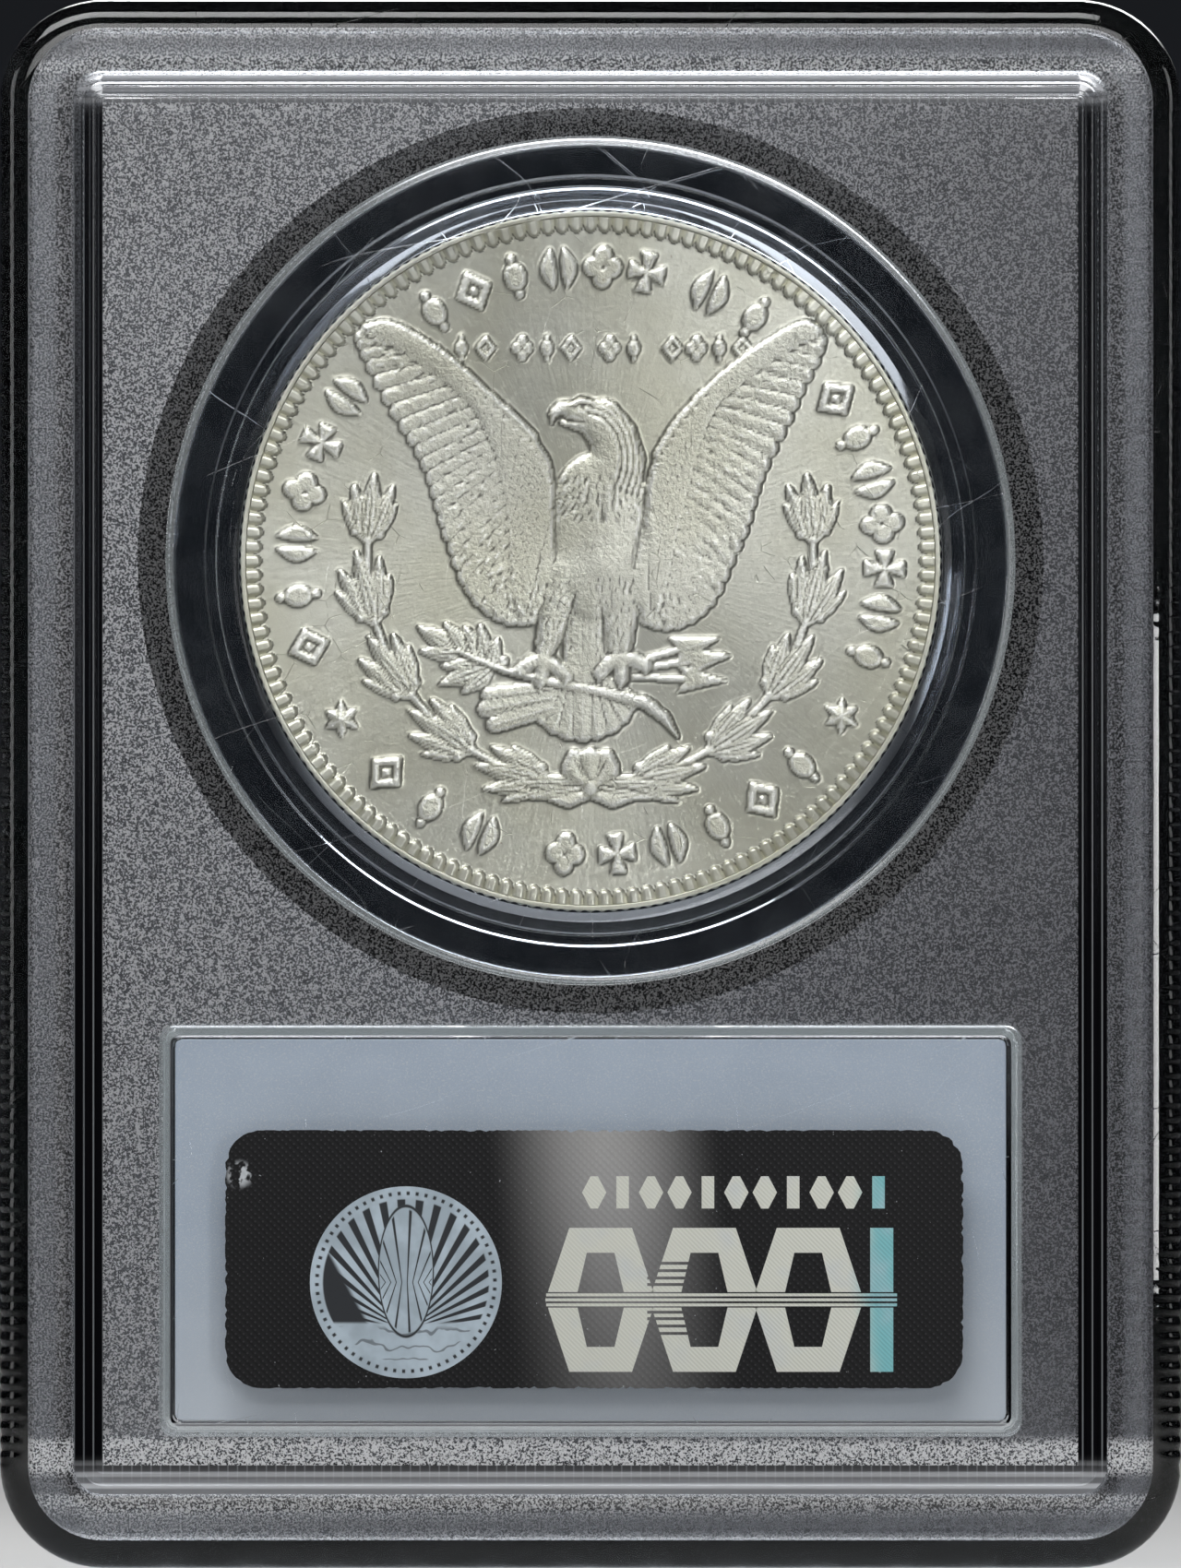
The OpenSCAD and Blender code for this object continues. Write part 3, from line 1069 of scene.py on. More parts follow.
class Relief:
    """One struck face: heights over the field, in millimetres, on a square grid."""

    def __init__(self):
        self.n = math.ceil((TEETH_IN + 0.1) / GRID_STEP)
        line = np.arange(-self.n, self.n + 1) * GRID_STEP
        self.x, self.y = np.meshgrid(line, line)
        self.h = np.zeros_like(self.x)

    def window(self, points, margin):
        """The part of the grid round some points."""
        slices = []
        for axis in (1, 0):
            low = min(p[axis] for p in points) - margin
            high = max(p[axis] for p in points) + margin
            first = max(math.floor(low / GRID_STEP) + self.n, 0)
            slices.append(slice(first, max(math.ceil(high / GRID_STEP) + self.n + 1, first + 1)))
        return tuple(slices)

    def local(self, root, tip, w):
        """Distances along and across a line from root to tip."""
        dx, dy = tip[0] - root[0], tip[1] - root[1]
        length = math.hypot(dx, dy)
        px, py = self.x[w] - root[0], self.y[w] - root[1]
        return (px * dx + py * dy) / length, (py * dx - px * dy) / length, length

    def near(self, a, b, w):
        """Distance from the segment a b, and how far along it."""
        u, _, length = self.local(a, b, w)
        t = np.clip(u / length, 0.0, 1.0)
        dx, dy = (b[0] - a[0]) * t, (b[1] - a[1]) * t
        return np.hypot(self.x[w] - a[0] - dx, self.y[w] - a[1] - dy), t

    def lay(self, w, height, inside, cover=False):
        """Lays a form on the face. With cover it hides what is under it, even if that is higher."""
        top = height if cover else np.maximum(self.h[w], height)
        self.h[w] = np.where(inside, top, self.h[w])

    def groove(self, a, b, width, depth):
        """A fine engraved line, cut only where the surface is already raised."""
        w = self.window((a, b), width * 2)
        away, t = self.near(a, b, w)
        cut = depth * np.exp(-((away / width) ** 2)) * np.sin(math.pi * (0.08 + 0.84 * t))
        self.h[w] = np.where(self.h[w] > 0.03, self.h[w] - cut, self.h[w])

    def leaf(self, root, tip, half, low=0.06, rise=0.07, vein=0.08):
        """A pointed leaf with a cut midrib and two finer cuts beside it."""
        w = self.window((root, tip), half * 1.6)
        u, v, length = self.local(root, tip, w)
        t = np.clip(u / length, 0.0, 1.0)
        width = half * np.sin(math.pi * t**0.8) ** 0.9 + 1e-6
        q = v / width
        inside = (u > 0) & (u < length) & (np.abs(q) < 1)
        height = low + rise * (1 - np.abs(q) ** 2.5) - 0.02 * q
        height = height - vein * np.exp(-((v / 0.08) ** 2)) * (1 - 0.8 * t)
        beside = np.exp(-(((np.abs(q) - 0.55) * width / 0.06) ** 2)) * (0.25 < t) * (t < 0.8)
        self.lay(w, height - 0.6 * vein * beside, inside, True)

    def feather(self, root, tip, half, base, rise, lean, curl=0.0, shaft=0.012):
        """A round-ended feather whose one edge lies over its neighbour."""
        w = self.window((root, tip), half * 1.3 + abs(curl) * math.dist(root, tip) * 0.3)
        u, v, length = self.local(root, tip, w)
        t = np.clip(u / length, 0.0, 1.0)
        v = v - curl * length * (t * t - t)
        end = np.clip((u - length + half) / half, 0.0, 1.0)
        width = half * np.sqrt(np.clip(1 - end**2.4, 0, 1)) + 1e-6
        q = v / width
        inside = (u > 0) & (u < length) & (np.abs(q) < 1)
        height = base + rise * (1 - np.abs(q) ** 3) - lean * q
        self.lay(w, height + shaft * np.exp(-((v / 0.08) ** 2)), inside, True)

    def limb(self, points, radii, rise, low=0.0, cover=False):
        """A round body along a chain of points with a radius at each."""
        w = self.window(points, max(radii) * 1.1)
        best = np.full_like(self.x[w], -1.0)
        for i in range(len(points) - 1):
            away, t = self.near(points[i], points[i + 1], w)
            best = np.maximum(best, 1 - away / (radii[i] + (radii[i + 1] - radii[i]) * t))
        q = np.clip(1 - best, 0, 1)
        self.lay(w, low + rise * np.sqrt(1 - q * q), best > 0, cover)

    def bead(self, x, y, r, rise=0.10, low=0.03):
        w = self.window(((x, y),), r * 1.1)
        q = np.hypot(self.x[w] - x, self.y[w] - y) / r
        self.lay(w, low + rise * np.sqrt(np.clip(1 - q * q, 0, 1)), q < 1)

    def star(self, x, y, outer, inner, points, turn=90.0, rise=0.14):
        """A star cut into facets that meet at its middle."""
        w = self.window(((x, y),), outer * 1.1)
        px, py = self.x[w] - x, self.y[w] - y
        part = math.pi / points
        a = np.abs((np.arctan2(py, px) - math.radians(turn) + part) % (2 * part) - part)
        edge = outer * inner * math.sin(part) / (inner * np.sin(part - a) + outer * np.sin(a))
        q = np.hypot(px, py) / edge
        self.lay(w, 0.06 + rise * (1 - q), q < 1)

    def outline(self, points, low, rise, soft=0.5):
        """A plate inside a closed outline, rounded off over its edges."""
        w = self.window(points, 0.2)
        x, y = self.x[w], self.y[w]
        inside = np.zeros(x.shape, bool)
        near = np.full(x.shape, 9.0)
        for (ax, ay), (bx, by) in zip(points, [*points[1:], points[0]], strict=True):
            crossing = (bx - ax) / ((by - ay) or 1e-9) * (y - ay) + ax
            inside ^= ((ay > y) != (by > y)) & (x < crossing)
            near = np.minimum(near, self.near((ax, ay), (bx, by), w)[0])
        q = np.clip(near / soft, 0, 1)
        self.lay(w, low + rise * np.sqrt(1 - (1 - q) ** 2), inside, True)

    def ornament(self, kind, centre, degrees, width, height, top=0.10):
        """A plain flat-topped ornament; degrees is the way that its top points."""
        a = math.radians(degrees)
        out = (math.cos(a), math.sin(a))
        w = self.window((centre,), max(width, height) * 0.75)
        px, py = self.x[w] - centre[0], self.y[w] - centre[1]
        p = np.abs(px * out[1] - py * out[0]) / (width / 2)
        q = np.abs(px * out[0] + py * out[1]) / (height / 2)
        scale = min(width, height) / 2
        if kind == "lozenge":
            d = p + q
            edge = np.minimum(1 - d, np.abs(d - 0.36) - 0.10)
        elif kind == "petals":
            edge = 0.47 - np.minimum(np.hypot(p - 0.52, q), np.hypot(p, q - 0.52))
        elif kind == "leaves":
            middle = 0.42 + 0.12 * np.cos(2.4 * q)
            half = 0.40 * np.cos(np.clip(q, 0, 1) * math.pi / 2)
            edge = np.minimum(half - np.abs(p - middle), 1 - q)
        elif kind == "bead":
            edge = np.maximum(0.56 - np.hypot(p, q * 0.85), 0.22 - np.hypot(p, q - 0.82))
        else:  # cross of four wedges
            far = np.maximum(p, q)
            edge = np.minimum(0.36 * far + 0.10 - np.minimum(p, q), 0.94 - far)
        shape = np.clip(edge * scale / 0.10, 0, 1)
        self.lay(w, top * shape**0.6, shape > 0)

    def laurel(self, side, angles, radius):
        """A branch of leaf clusters along a circle, climbing one side from the bottom."""
        def at(a, r):
            return side * r * math.cos(a), r * math.sin(a)

        turns = [math.radians(v) for v in angles]
        for a, b in zip(turns, turns[1:], strict=False):
            self.limb([at(t, radius) for t in (a, (a + b) / 2, b)], [0.16] * 3, 0.06, 0.05)
        for k, a in enumerate(turns):
            way = a + math.pi / 2
            for turn, shift, length, half in (
                (0.50, -0.30, 2.5, 0.34),
                (-0.58, 0.35, 2.4, 0.34),
                (0.30, -0.18, 3.4, 0.46),
                (-0.30, 0.20, 3.3, 0.46),
                (0.0, 0.0, 3.9, 0.52),
            ):
                reach = length * (1.0 if k < len(turns) - 1 else 0.92)
                root = at(a, radius + shift)
                across, up = at(way + turn, reach)
                self.leaf(root, (root[0] + across, root[1] + up), half)
            for out in (-0.62, 0.70):
                berry = at(a + 0.02, radius + out)
                self.bead(*berry, 0.23)
                self.limb([at(a - 0.03, radius), berry], [0.09, 0.07], 0.05, 0.04)

    def strokes(self, area, spacing, length, width, depth, lean, fan, spread, seed):
        """Short engraved strokes over a worked area, at lean radians, fanned out sideways."""
        rng = np.random.default_rng(seed)
        (x0, y0), (x1, y1) = area
        for y in np.arange(y0, y1, spacing):
            for x in np.arange(x0, x1, spacing):
                px = x + rng.uniform(-0.4, 0.4) * spacing
                py = y + rng.uniform(-0.4, 0.4) * spacing
                a = lean + fan * (px - 0.6) + rng.uniform(-spread, spread)
                reach = length * rng.uniform(0.6, 1.1)
                self.groove((px, py), polar(reach, a, px, py), width, depth)


def wing(face, lead, inner, covert, tips, count, side, seed):
    """A raised wing: flight feathers under coverts, closed by a smooth leading edge."""
    top = trace(lead, 0, 1, 30) + trace(inner, 0.05, 1, 12)
    face.outline(top + trace(tips, 1, 0, 40), 0.06, 0.06, 0.6)
    for k in range(count):
        t = (k + 0.3) / (count - 0.4)
        root, tip = curve(covert, t), curve(tips, t)
        root = root + (root - tip) * 0.12
        tip = tip + (tip - root) / np.linalg.norm(tip - root) * 0.30
        face.feather(root, tip, 0.40 + 0.12 * t, 0.09, 0.04, 0.028 * side, curl=0.05 * side)
    # The coverts lie over the roots of the flight feathers, up to the covert line.
    face.outline(top + trace(covert, 1, 0, 30), 0.125, 0.055, 0.7)
    for row in range(5):
        many = count + 4 - row
        for k in range(many):
            t = (k + 0.5 * (row % 2) + 0.4) / many
            a, b = curve(lead, t), curve(covert, t)
            root, end = (a + (b - a) * (share - 0.17 * row) for share in (0.78, 1.06))
            if np.linalg.norm(end - root) > 0.2:
                base = 0.135 + 0.008 * row
                face.feather(root, end, 0.32, base, 0.036, 0.014 * side, shaft=0.0)
    rng = np.random.default_rng(seed)
    for _ in range(620):
        t, s = rng.uniform(0.02, 0.98), rng.uniform(0.1, 0.95)
        a, b = curve(covert, t), curve(tips, t)
        p = a + (b - a) * s
        way = math.atan2(b[1] - a[1], b[0] - a[0]) + rng.uniform(-0.5, 0.5)
        end = polar(rng.uniform(0.25, 0.6), way, *p)
        face.groove(p, end, 0.08, rng.uniform(-0.035, 0.035))
    edge = trace(lead, 0.0, 0.75, 24)
    face.limb(edge, [0.20] * len(edge), 0.07, 0.12)


def eagle(face):
    """A heraldic eagle: raised wings, a fanned tail, legs on a branch, and its head to the left."""
    wing(
        face,
        [
            (-12.2, 12.65), (-11.3, 12.85), (-10.2, 12.55), (-7.85, 11.1), (-5.5, 9.0),
            (-3.4, 7.1), (-2.3, 5.6), (-2.0, 4.4),
        ],
        [
            (-2.0, 4.4), (-1.9, 2.4), (-1.9, 0.2), (-2.3, -1.6), (-3.0, -3.0),
        ],
        [
            (-11.6, 12.2), (-9.2, 11.0), (-6.8, 9.2), (-5.2, 7.4), (-4.7, 5.6), (-4.4, 3.6),
            (-4.1, 1.4), (-4.0, -0.8), (-3.6, -2.6),
        ],
        [
            (-12.5, 12.2), (-12.1, 11.2), (-11.3, 9.4), (-10.2, 7.5), (-9.2, 5.9), (-8.5, 4.2),
            (-8.0, 2.4), (-7.4, 0.6), (-6.7, -1.2), (-5.7, -2.5), (-4.4, -3.2), (-3.1, -3.1),
        ],
        26, 1.0, 5,
    )
    wing(
        face,
        [
            (12.4, 12.5), (11.5, 12.85), (9.7, 11.9), (7.1, 10.0), (5.0, 7.9), (3.8, 6.1),
            (3.2, 4.8), (3.15, 4.0),
        ],
        [
            (3.15, 4.0), (3.0, 2.0), (2.4, 0.0), (2.2, -1.6), (2.9, -3.1),
        ],
        [
            (11.7, 12.1), (9.3, 10.8), (7.0, 9.0), (5.7, 7.6), (5.5, 6.0), (5.0, 4.0),
            (4.6, 2.2), (4.2, 0.4), (3.8, -1.2), (3.5, -2.6),
        ],
        [
            (12.5, 12.0), (12.1, 10.8), (11.2, 9.0), (10.4, 7.2), (9.4, 5.2), (8.8, 3.6),
            (8.3, 1.8), (7.5, 0.0), (6.7, -1.8), (5.6, -3.0), (4.2, -3.5), (3.0, -3.2),
        ],
        26, -1.0, 6,
    )
    # Tail: a fan of round-ended feathers, and the fluted column that joins it to the body.
    for k in (0, 8, 1, 7, 2, 6, 3, 5, 4):
        a = math.radians(206 + 16.2 * k)
        tip = (-0.45 + 3.2 * math.cos(a), -6.75 + 3.05 * math.sin(a))
        base = 0.07 + 0.008 * (4 - abs(k - 4))
        face.feather((-0.45, -5.9), tip, 0.60, base, 0.045, 0.0, shaft=0.02)
    face.outline([(-1.5, -1.0), (1.3, -1.0), (1.0, -6.7), (-1.35, -6.7)], 0.08, 0.05)
    for k in range(7):
        face.groove((-1.1 + 0.34 * k, -2.2), (-1.15 + 0.36 * k, -6.5), 0.08, 0.02)
    # Legs, body, neck and head.
    for spine, radii, rise, low in (
        (
            [(-1.1, -0.6), (-1.75, -2.6), (-2.35, -4.4), (-2.6, -5.4)],
            [1.25, 1.0, 0.62, 0.36], 0.17, 0.05,
        ),
        (
            [(1.3, -0.6), (1.55, -2.8), (1.55, -4.5), (1.5, -5.4)],
            [1.3, 1.0, 0.75, 0.40], 0.17, 0.05,
        ),
        ([(0.6, 3.4), (0.55, 1.6), (0.3, -0.4), (0.1, -1.6)], [2.5, 2.45, 2.2, 1.7], 0.235, 0.04),
        ([(1.0, 4.2), (1.5, 5.4), (1.3, 6.7), (0.6, 7.6)], [2.05, 1.45, 1.25, 1.20], 0.21, 0.05),
        ([(0.1, 7.75), (-0.7, 7.9)], [1.05, 0.62], 0.17, 0.08),
    ):
        face.limb(spine, radii, rise, low)
    # Hooked beak with its open gape, brow and eye.
    hook = [(-0.9, 8.15), (-1.55, 8.3), (-2.0, 8.0), (-2.12, 7.5)]
    face.limb(hook, [0.50, 0.34, 0.22, 0.06], 0.13, 0.08)
    face.limb([(-0.2, 7.25), (-0.9, 7.35), (-1.55, 7.5)], [0.32, 0.20, 0.08], 0.11, 0.06)
    face.groove((-1.75, 7.72), (-0.2, 7.5), 0.09, 0.10)
    face.limb([(-1.1, 8.5), (-0.5, 8.72), (0.2, 8.6)], [0.10, 0.16, 0.08], 0.05, 0.21)
    w = face.window(((-0.42, 8.3),), 0.6)
    away = np.hypot(face.x[w] + 0.42, face.y[w] - 8.3)
    lid, pupil = ((away - 0.25) / 0.07) ** 2, (away / 0.11) ** 2
    face.h[w] += 0.04 * np.exp(-lid) - 0.05 * np.exp(-pupil)
    # Neck hackles: pointed locks that fall back from the crown, in overlapping rows.
    fall = [(-0.1, 8.5), (0.9, 8.2), (1.8, 7.3), (2.2, 6.1), (2.2, 5.0), (1.9, 4.0)]
    for row in range(9, -1, -1):
        t = row / 9
        mid, ahead = curve(fall, t), curve(fall, min(t + 0.05, 1.0))
        way = math.atan2(ahead[1] - mid[1], ahead[0] - mid[0]) if row < 9 else -1.6
        for k in range(6):
            off = 0.42 - 0.42 * k
            x = mid[0] + off * math.sin(way) - 0.15 - 0.10 * k * t
            root = (x, mid[1] - off * math.cos(way))
            face.groove(root, polar(0.95, way - 0.18 * k * (1 - t), *root), 0.09, 0.075)
    for area, spacing, length, width, depth, lean, fan, spread, seed in (
        (((-1.6, 2.6), (3.0, 4.9)), 0.40, 0.7, 0.08, 0.05, -1.57, 0.35, 0.3, 11),
        (((-1.7, -0.8), (2.9, 2.6)), 0.50, 0.6, 0.07, 0.018, -1.57, 0.12, 0.3, 12),
        (((-3.1, -4.6), (-0.9, -0.8)), 0.36, 0.6, 0.07, 0.035, -1.9, 0.0, 0.25, 13),
        (((0.4, -4.8), (2.5, -0.8)), 0.36, 0.6, 0.07, 0.035, -1.6, 0.0, 0.25, 14),
    ):
        face.strokes(area, spacing, length, width, depth, lean, fan, spread, seed)
    for a, b, width, depth in (
        ((-0.75, -1.6), (-1.55, -4.3), 0.10, 0.09),
        ((0.55, -2.0), (0.75, -4.8), 0.10, 0.09),
        ((-1.95, 3.9), (-1.9, 0.0), 0.09, 0.10),
        ((3.1, 3.9), (2.35, -0.4), 0.09, 0.10),
    ):
        face.groove(a, b, width, depth)


def perch(face):
    """The olive branch and the arrows, in the eagle's feet."""
    for root, tip, half in (
        ((-7.0, -5.0), (-9.4, -3.55), 0.52),
        ((-6.7, -5.0), (-7.95, -3.3), 0.44),
        ((-7.1, -5.1), (-9.3, -4.9), 0.40),
        ((-5.9, -5.5), (-6.85, -3.5), 0.46),
        ((-5.7, -5.5), (-6.0, -3.4), 0.42),
        ((-5.5, -5.7), (-5.0, -4.15), 0.38),
        ((-5.8, -5.7), (-8.2, -5.7), 0.40),
        ((-5.6, -5.8), (-8.3, -6.75), 0.50),
        ((-5.3, -5.9), (-7.0, -7.2), 0.44),
    ):
        face.leaf(root, tip, half)
    face.bead(-4.75, -5.45, 0.27)
    ends = ((-6.7, (-5.9, -7.35)), (-7.0, (-6.1, -8.1)), (-7.35, (-5.6, -9.0)))
    for k, (y0, end) in enumerate(ends):
        face.limb([(0.2, y0 + 0.2), (-3.6, (y0 + end[1]) / 2)], [0.16, 0.16], 0.07, 0.05)
        root = (-2.0, y0 + (end[1] - y0) * 0.35)
        face.feather(root, end, 0.44, 0.09 + 0.01 * k, 0.03, 0.01, shaft=0.03)
        for j in range(10):
            px, py = partway(root, end, 0.15 + 0.085 * j)
            for up in (-1, 1):
                face.groove((px, py), (px - 0.35, py + up * 0.42), 0.05, 0.02)
    for tip, root in (
        ((7.0, -4.2), (2.4, -5.5)),
        ((7.4, -6.5), (2.4, -6.3)),
        ((7.7, -5.1), (2.4, -5.9)),
    ):
        length = math.dist(tip, root)
        way = ((tip[0] - root[0]) / length, (tip[1] - root[1]) / length)

        def spot(back, across):
            return (
                tip[0] - way[0] * back - way[1] * across,
                tip[1] - way[1] * back + way[0] * across,
            )

        face.limb([root, spot(2.0, 0.0)], [0.16, 0.16], 0.06, 0.05)
        face.outline([tip, spot(2.7, 0.78), spot(2.2, 0.0), spot(2.7, -0.78)], 0.08, 0.04, 0.35)
        face.groove(tip, spot(2.2, 0.0), 0.07, -0.02)
    stem = [
        (-7.2, -4.9), (-4.8, -5.9), (-2.1, -6.6), (0.6, -7.1), (3.0, -7.7), (4.0, -8.5),
        (4.75, -9.6),
    ]
    face.limb(stem, [0.10, 0.17, 0.22, 0.26, 0.34, 0.30, 0.06], 0.11, 0.09, cover=True)
    for foot, toes in (
        ((-2.55, -5.4), ((-3.8, -5.9), (-2.7, -6.5), (-1.3, -6.3))),
        ((1.55, -5.3), ((0.5, -6.1), (1.7, -6.4), (3.0, -5.7))),
    ):
        for toe in toes:
            knuckle = ((foot[0] + toe[0]) / 2, (foot[1] + toe[1]) / 2 + 0.15)
            talon = (toe[0] - 0.05, toe[1] - 0.35)
            face.limb([foot, knuckle, toe, talon], [0.34, 0.40, 0.36, 0.12], 0.13, 0.11)


def legend(face, radius, groups):
    """Groups of plain ornaments standing round the edge."""
    kinds = ("lozenge", "bead", "leaves", "petals", "cross", "leaves", "bead")
    at = 0
    for start, end, count in groups:
        for k in range(count):
            degrees = start + (end - start) * k / (count - 1)
            centre = polar(radius, math.radians(degrees))
            face.ornament(kinds[at % len(kinds)], centre, degrees, 2.1, 2.35, 0.12)
            at += 1


def bow(face):
    """The ribbon that ties the two branches."""
    for side in (1, -1):
        face.leaf((0.3 * side, -12.2), (4.3 * side, -12.0), 0.52)
        face.leaf((0.5 * side, -12.45), (3.6 * side, -12.85), 0.36)
        tail = [(0.2 * side, -12.7), (1.2 * side, -13.05), (2.2 * side, -12.95)]
        face.limb(tail, [0.26, 0.34, 0.10], 0.08, 0.06)
        loop = [(0.25 * side, -12.0), (1.0 * side, -11.3), (0.85 * side, -10.6)]
        face.limb(loop, [0.30, 0.55, 0.40], 0.10, 0.08)
        face.groove((0.3 * side, -11.9), (0.95 * side, -10.6), 0.08, 0.05)
    face.limb([(0.0, -11.6), (0.0, -10.7)], [0.35, 0.55], 0.11, 0.09)
    face.limb([(0.0, -12.2), (0.0, -12.4)], [0.36, 0.36], 0.12, 0.10)


def reverse_face():
    face = Relief()
    above = ((197, 146, 6), (122, 79, 6), (66, 56, 2), (33.5, -19, 7))
    below = ((226, 248, 3), (265, 316, 6))
    legend(face, 15.95, above + below)
    for degrees in (212.4, 328.3):
        face.star(*polar(16.0, math.radians(degrees)), 1.05, 0.52, 6, degrees)
    x = -7.0
    for k, gap in enumerate((1.3, 2.0, 1.35, 1.3, 2.1, 1.3, 2.1, 1.3, 1.25, 1.25, 1.25)):
        face.ornament(("bead", "lozenge", "petals")[k % 3], (x, 11.55), 90.0, 1.15, 1.45, 0.09)
        x += gap
    for side in (1, -1):
        face.laurel(side, (-78, -57, -36, -15, 6), 12.15)
    bow(face)
    eagle(face)
    perch(face)
    return face


def obverse_face():
    """The hidden side's own plain design: a laurel wreath round a cut star."""
    face = Relief()
    for k in range(13):
        a = 90 + 360 / 13 * (k + 0.5)
        face.star(*polar(15.98, math.radians(a)), 0.95, 0.46, 6, a)
    for side in (1, -1):
        face.laurel(side, (-76, -56, -36, -16, 4, 24, 44), 11.9)
    bow(face)
    for k in range(24):
        a = math.radians(15 * k)
        far = 7.4 if k % 2 else 8.6
        face.leaf(polar(2.6, a), polar(far, a), 0.44, 0.04, 0.05, 0.02)
    face.star(0.0, 0.0, 6.2, 3.0, 6, 90.0, 0.18)
    face.bead(0.0, 0.0, 1.0, 0.24)
    return face


def coin_face(name, face, place, material):
    """A closed disc whose outer side is the struck face.

    One attribute holds painted shade for the relief's feet and cuts and a painted highlight for its
    raised edges; the raised attribute marks the relief.
    """
    h = blurred(np.clip(face.h, 0.0, SINK - 0.02), 1)
    fine = face.h - blurred(face.h, 1)
    # Painted shading: above zero in the relief's feet and cuts, below zero on its raised edges.
    painted_shading = np.clip((blurred(h, 4) - h) / 0.045 - fine / 0.016, -1.0, 1.0)
    n = face.x.shape[0]
    inside = np.hypot(face.x, face.y) < TEETH_IN + 0.1
    cell = np.pad(inside[:-1, :-1] & inside[1:, :-1] & inside[:-1, 1:] & inside[1:, 1:], 1)
    used = cell[:-1, :-1] | cell[1:, :-1] | cell[:-1, 1:] | cell[1:, 1:]
    index = np.full((n, n), -1)
    index[used] = np.arange(used.sum())
    flat = np.column_stack((face.x[used], face.y[used]))
    heights = h[used] + 0.02 * (np.hypot(flat[:, 0], flat[:, 1]) / TEETH_IN) ** 2
    verts = [
        place(x, COIN_Z + y, FIELD_DEPTH + z)
        for (x, y), z in zip(flat.tolist(), heights.tolist(), strict=True)
    ]
    core = cell[1:-1, 1:-1]
    rows, cols = np.nonzero(core)
    quads = np.column_stack(
        (index[rows, cols], index[rows, cols + 1], index[rows + 1, cols + 1], index[rows + 1, cols])
    ).tolist()
    follows = {}
    for missing, a, b in (
        (cell[:-2, 1:-1], (0, 0), (0, 1)),
        (cell[1:-1, 2:], (0, 1), (1, 1)),
        (cell[2:, 1:-1], (1, 1), (1, 0)),
        (cell[1:-1, :-2], (1, 0), (0, 0)),
    ):
        rows, cols = np.nonzero(core & ~missing)
        starts, ends = index[rows + a[0], cols + a[1]], index[rows + b[0], cols + b[1]]
        follows.update(zip(starts.tolist(), ends.tolist(), strict=True))
    border = [next(iter(follows))]
    while follows[border[-1]] != border[0]:
        border.append(follows[border[-1]])
    lower = list(range(len(verts), len(verts) + len(border)))
    verts += [place(flat[i][0], COIN_Z + flat[i][1], 0.0) for i in border]
    around = zip(border, border[1:] + border[:1], lower, lower[1:] + lower[:1], strict=True)
    faces = quads + [(b, a, c, d) for a, b, c, d in around] + [lower]
    mesh = bpy.data.meshes.new(name)
    mesh.from_pydata(verts, [], faces)
    marks = np.zeros(len(verts), np.float32)
    marks[: len(flat)] = painted_shading[used]
    mesh.attributes.new("painted_shading", "FLOAT", "POINT").data.foreach_set("value", marks)
    marks[: len(flat)] = np.clip(blurred(face.h, 2)[used] / 0.05, 0, 1)
    mesh.attributes.new("raised", "FLOAT", "POINT").data.foreach_set("value", marks)
    mesh.materials.append(material)
    return finished_object(name, mesh, 70.0, flats=False)


def toothed_border(name, place, material):
    """The border of small round-ended teeth between the fields and the flat rim."""
    steps = 8
    count = TEETH * steps
    radii = np.linspace(TEETH_IN - 0.12, RIM_IN + 0.02, 12)
    skin = Skin(place)
    pitch = 2 * math.pi / TEETH
    rings, marks = [], []
    for r in radii:
        points = []
        first = len(skin.verts)
        for i in range(count):
            a = 2 * math.pi * i / count
            p = ((a / pitch + 0.5) % 1.0 - 0.5) * pitch * r
            q = math.hypot(p, max(TEETH_IN + 0.34 - r, 0.0)) / 0.31
            rise = min(max((1.0 - q) / 0.30, 0.0), 1.0) ** 0.5
            points.append((r * math.cos(a), COIN_Z + r * math.sin(a)))
            skin.verts.append(place(*points[-1], FIELD_DEPTH + 0.02 + 0.20 * rise))
            # Painted shade round the feet of the teeth.
            marks.append(max(1.0 - 2.2 * rise, -0.3) if q < 1.25 else 0.2)
        skin.flat += points
        rings.append(list(range(first, len(skin.verts))))
    for r in (radii[-1], radii[0]):
        rings.append(skin.ring(plain_ring(r, count, 0.0, COIN_Z), FIELD_DEPTH - 0.2))
    skin.loop(rings)
    skin.marks = marks + [0.0] * (len(skin.verts) - len(marks))
    return skin.object(name, [material], 70.0)


def coin_flan():
    """The coin's body: flat rims and a reeded edge."""
    steps = 6
    count = REEDS * steps
    bed = FIELD_DEPTH - 0.05
    section = filleted(
        [
            (COIN_R - 3.0, bed),
            (RIM_IN, bed),
            (RIM_IN + 0.06, COIN_HALF),
            (COIN_R - 0.10, COIN_HALF),
            (COIN_R, COIN_HALF - 0.12),
            (COIN_R, 0.0),
        ],
        0.04,
    )
    section = section + [(r, -t) for r, t in reversed(section[:-1])]
    skin = Skin(place_back)
    rings = []
    for r, t in section:
        share = 1.0 if r > COIN_R - 0.02 and abs(t) < COIN_HALF - 0.1 else 0.0
        points = []
        for i in range(count):
            a = 2 * math.pi * i / count
            cut = 0.10 * share * (0.5 - 0.5 * math.cos(2 * math.pi * i / steps))
            points.append(((r - cut) * math.cos(a), COIN_Z + (r - cut) * math.sin(a)))
        rings.append(skin.ring(points, t))
    skin.loop(rings)
    return skin.object("coin_flan", [silver])


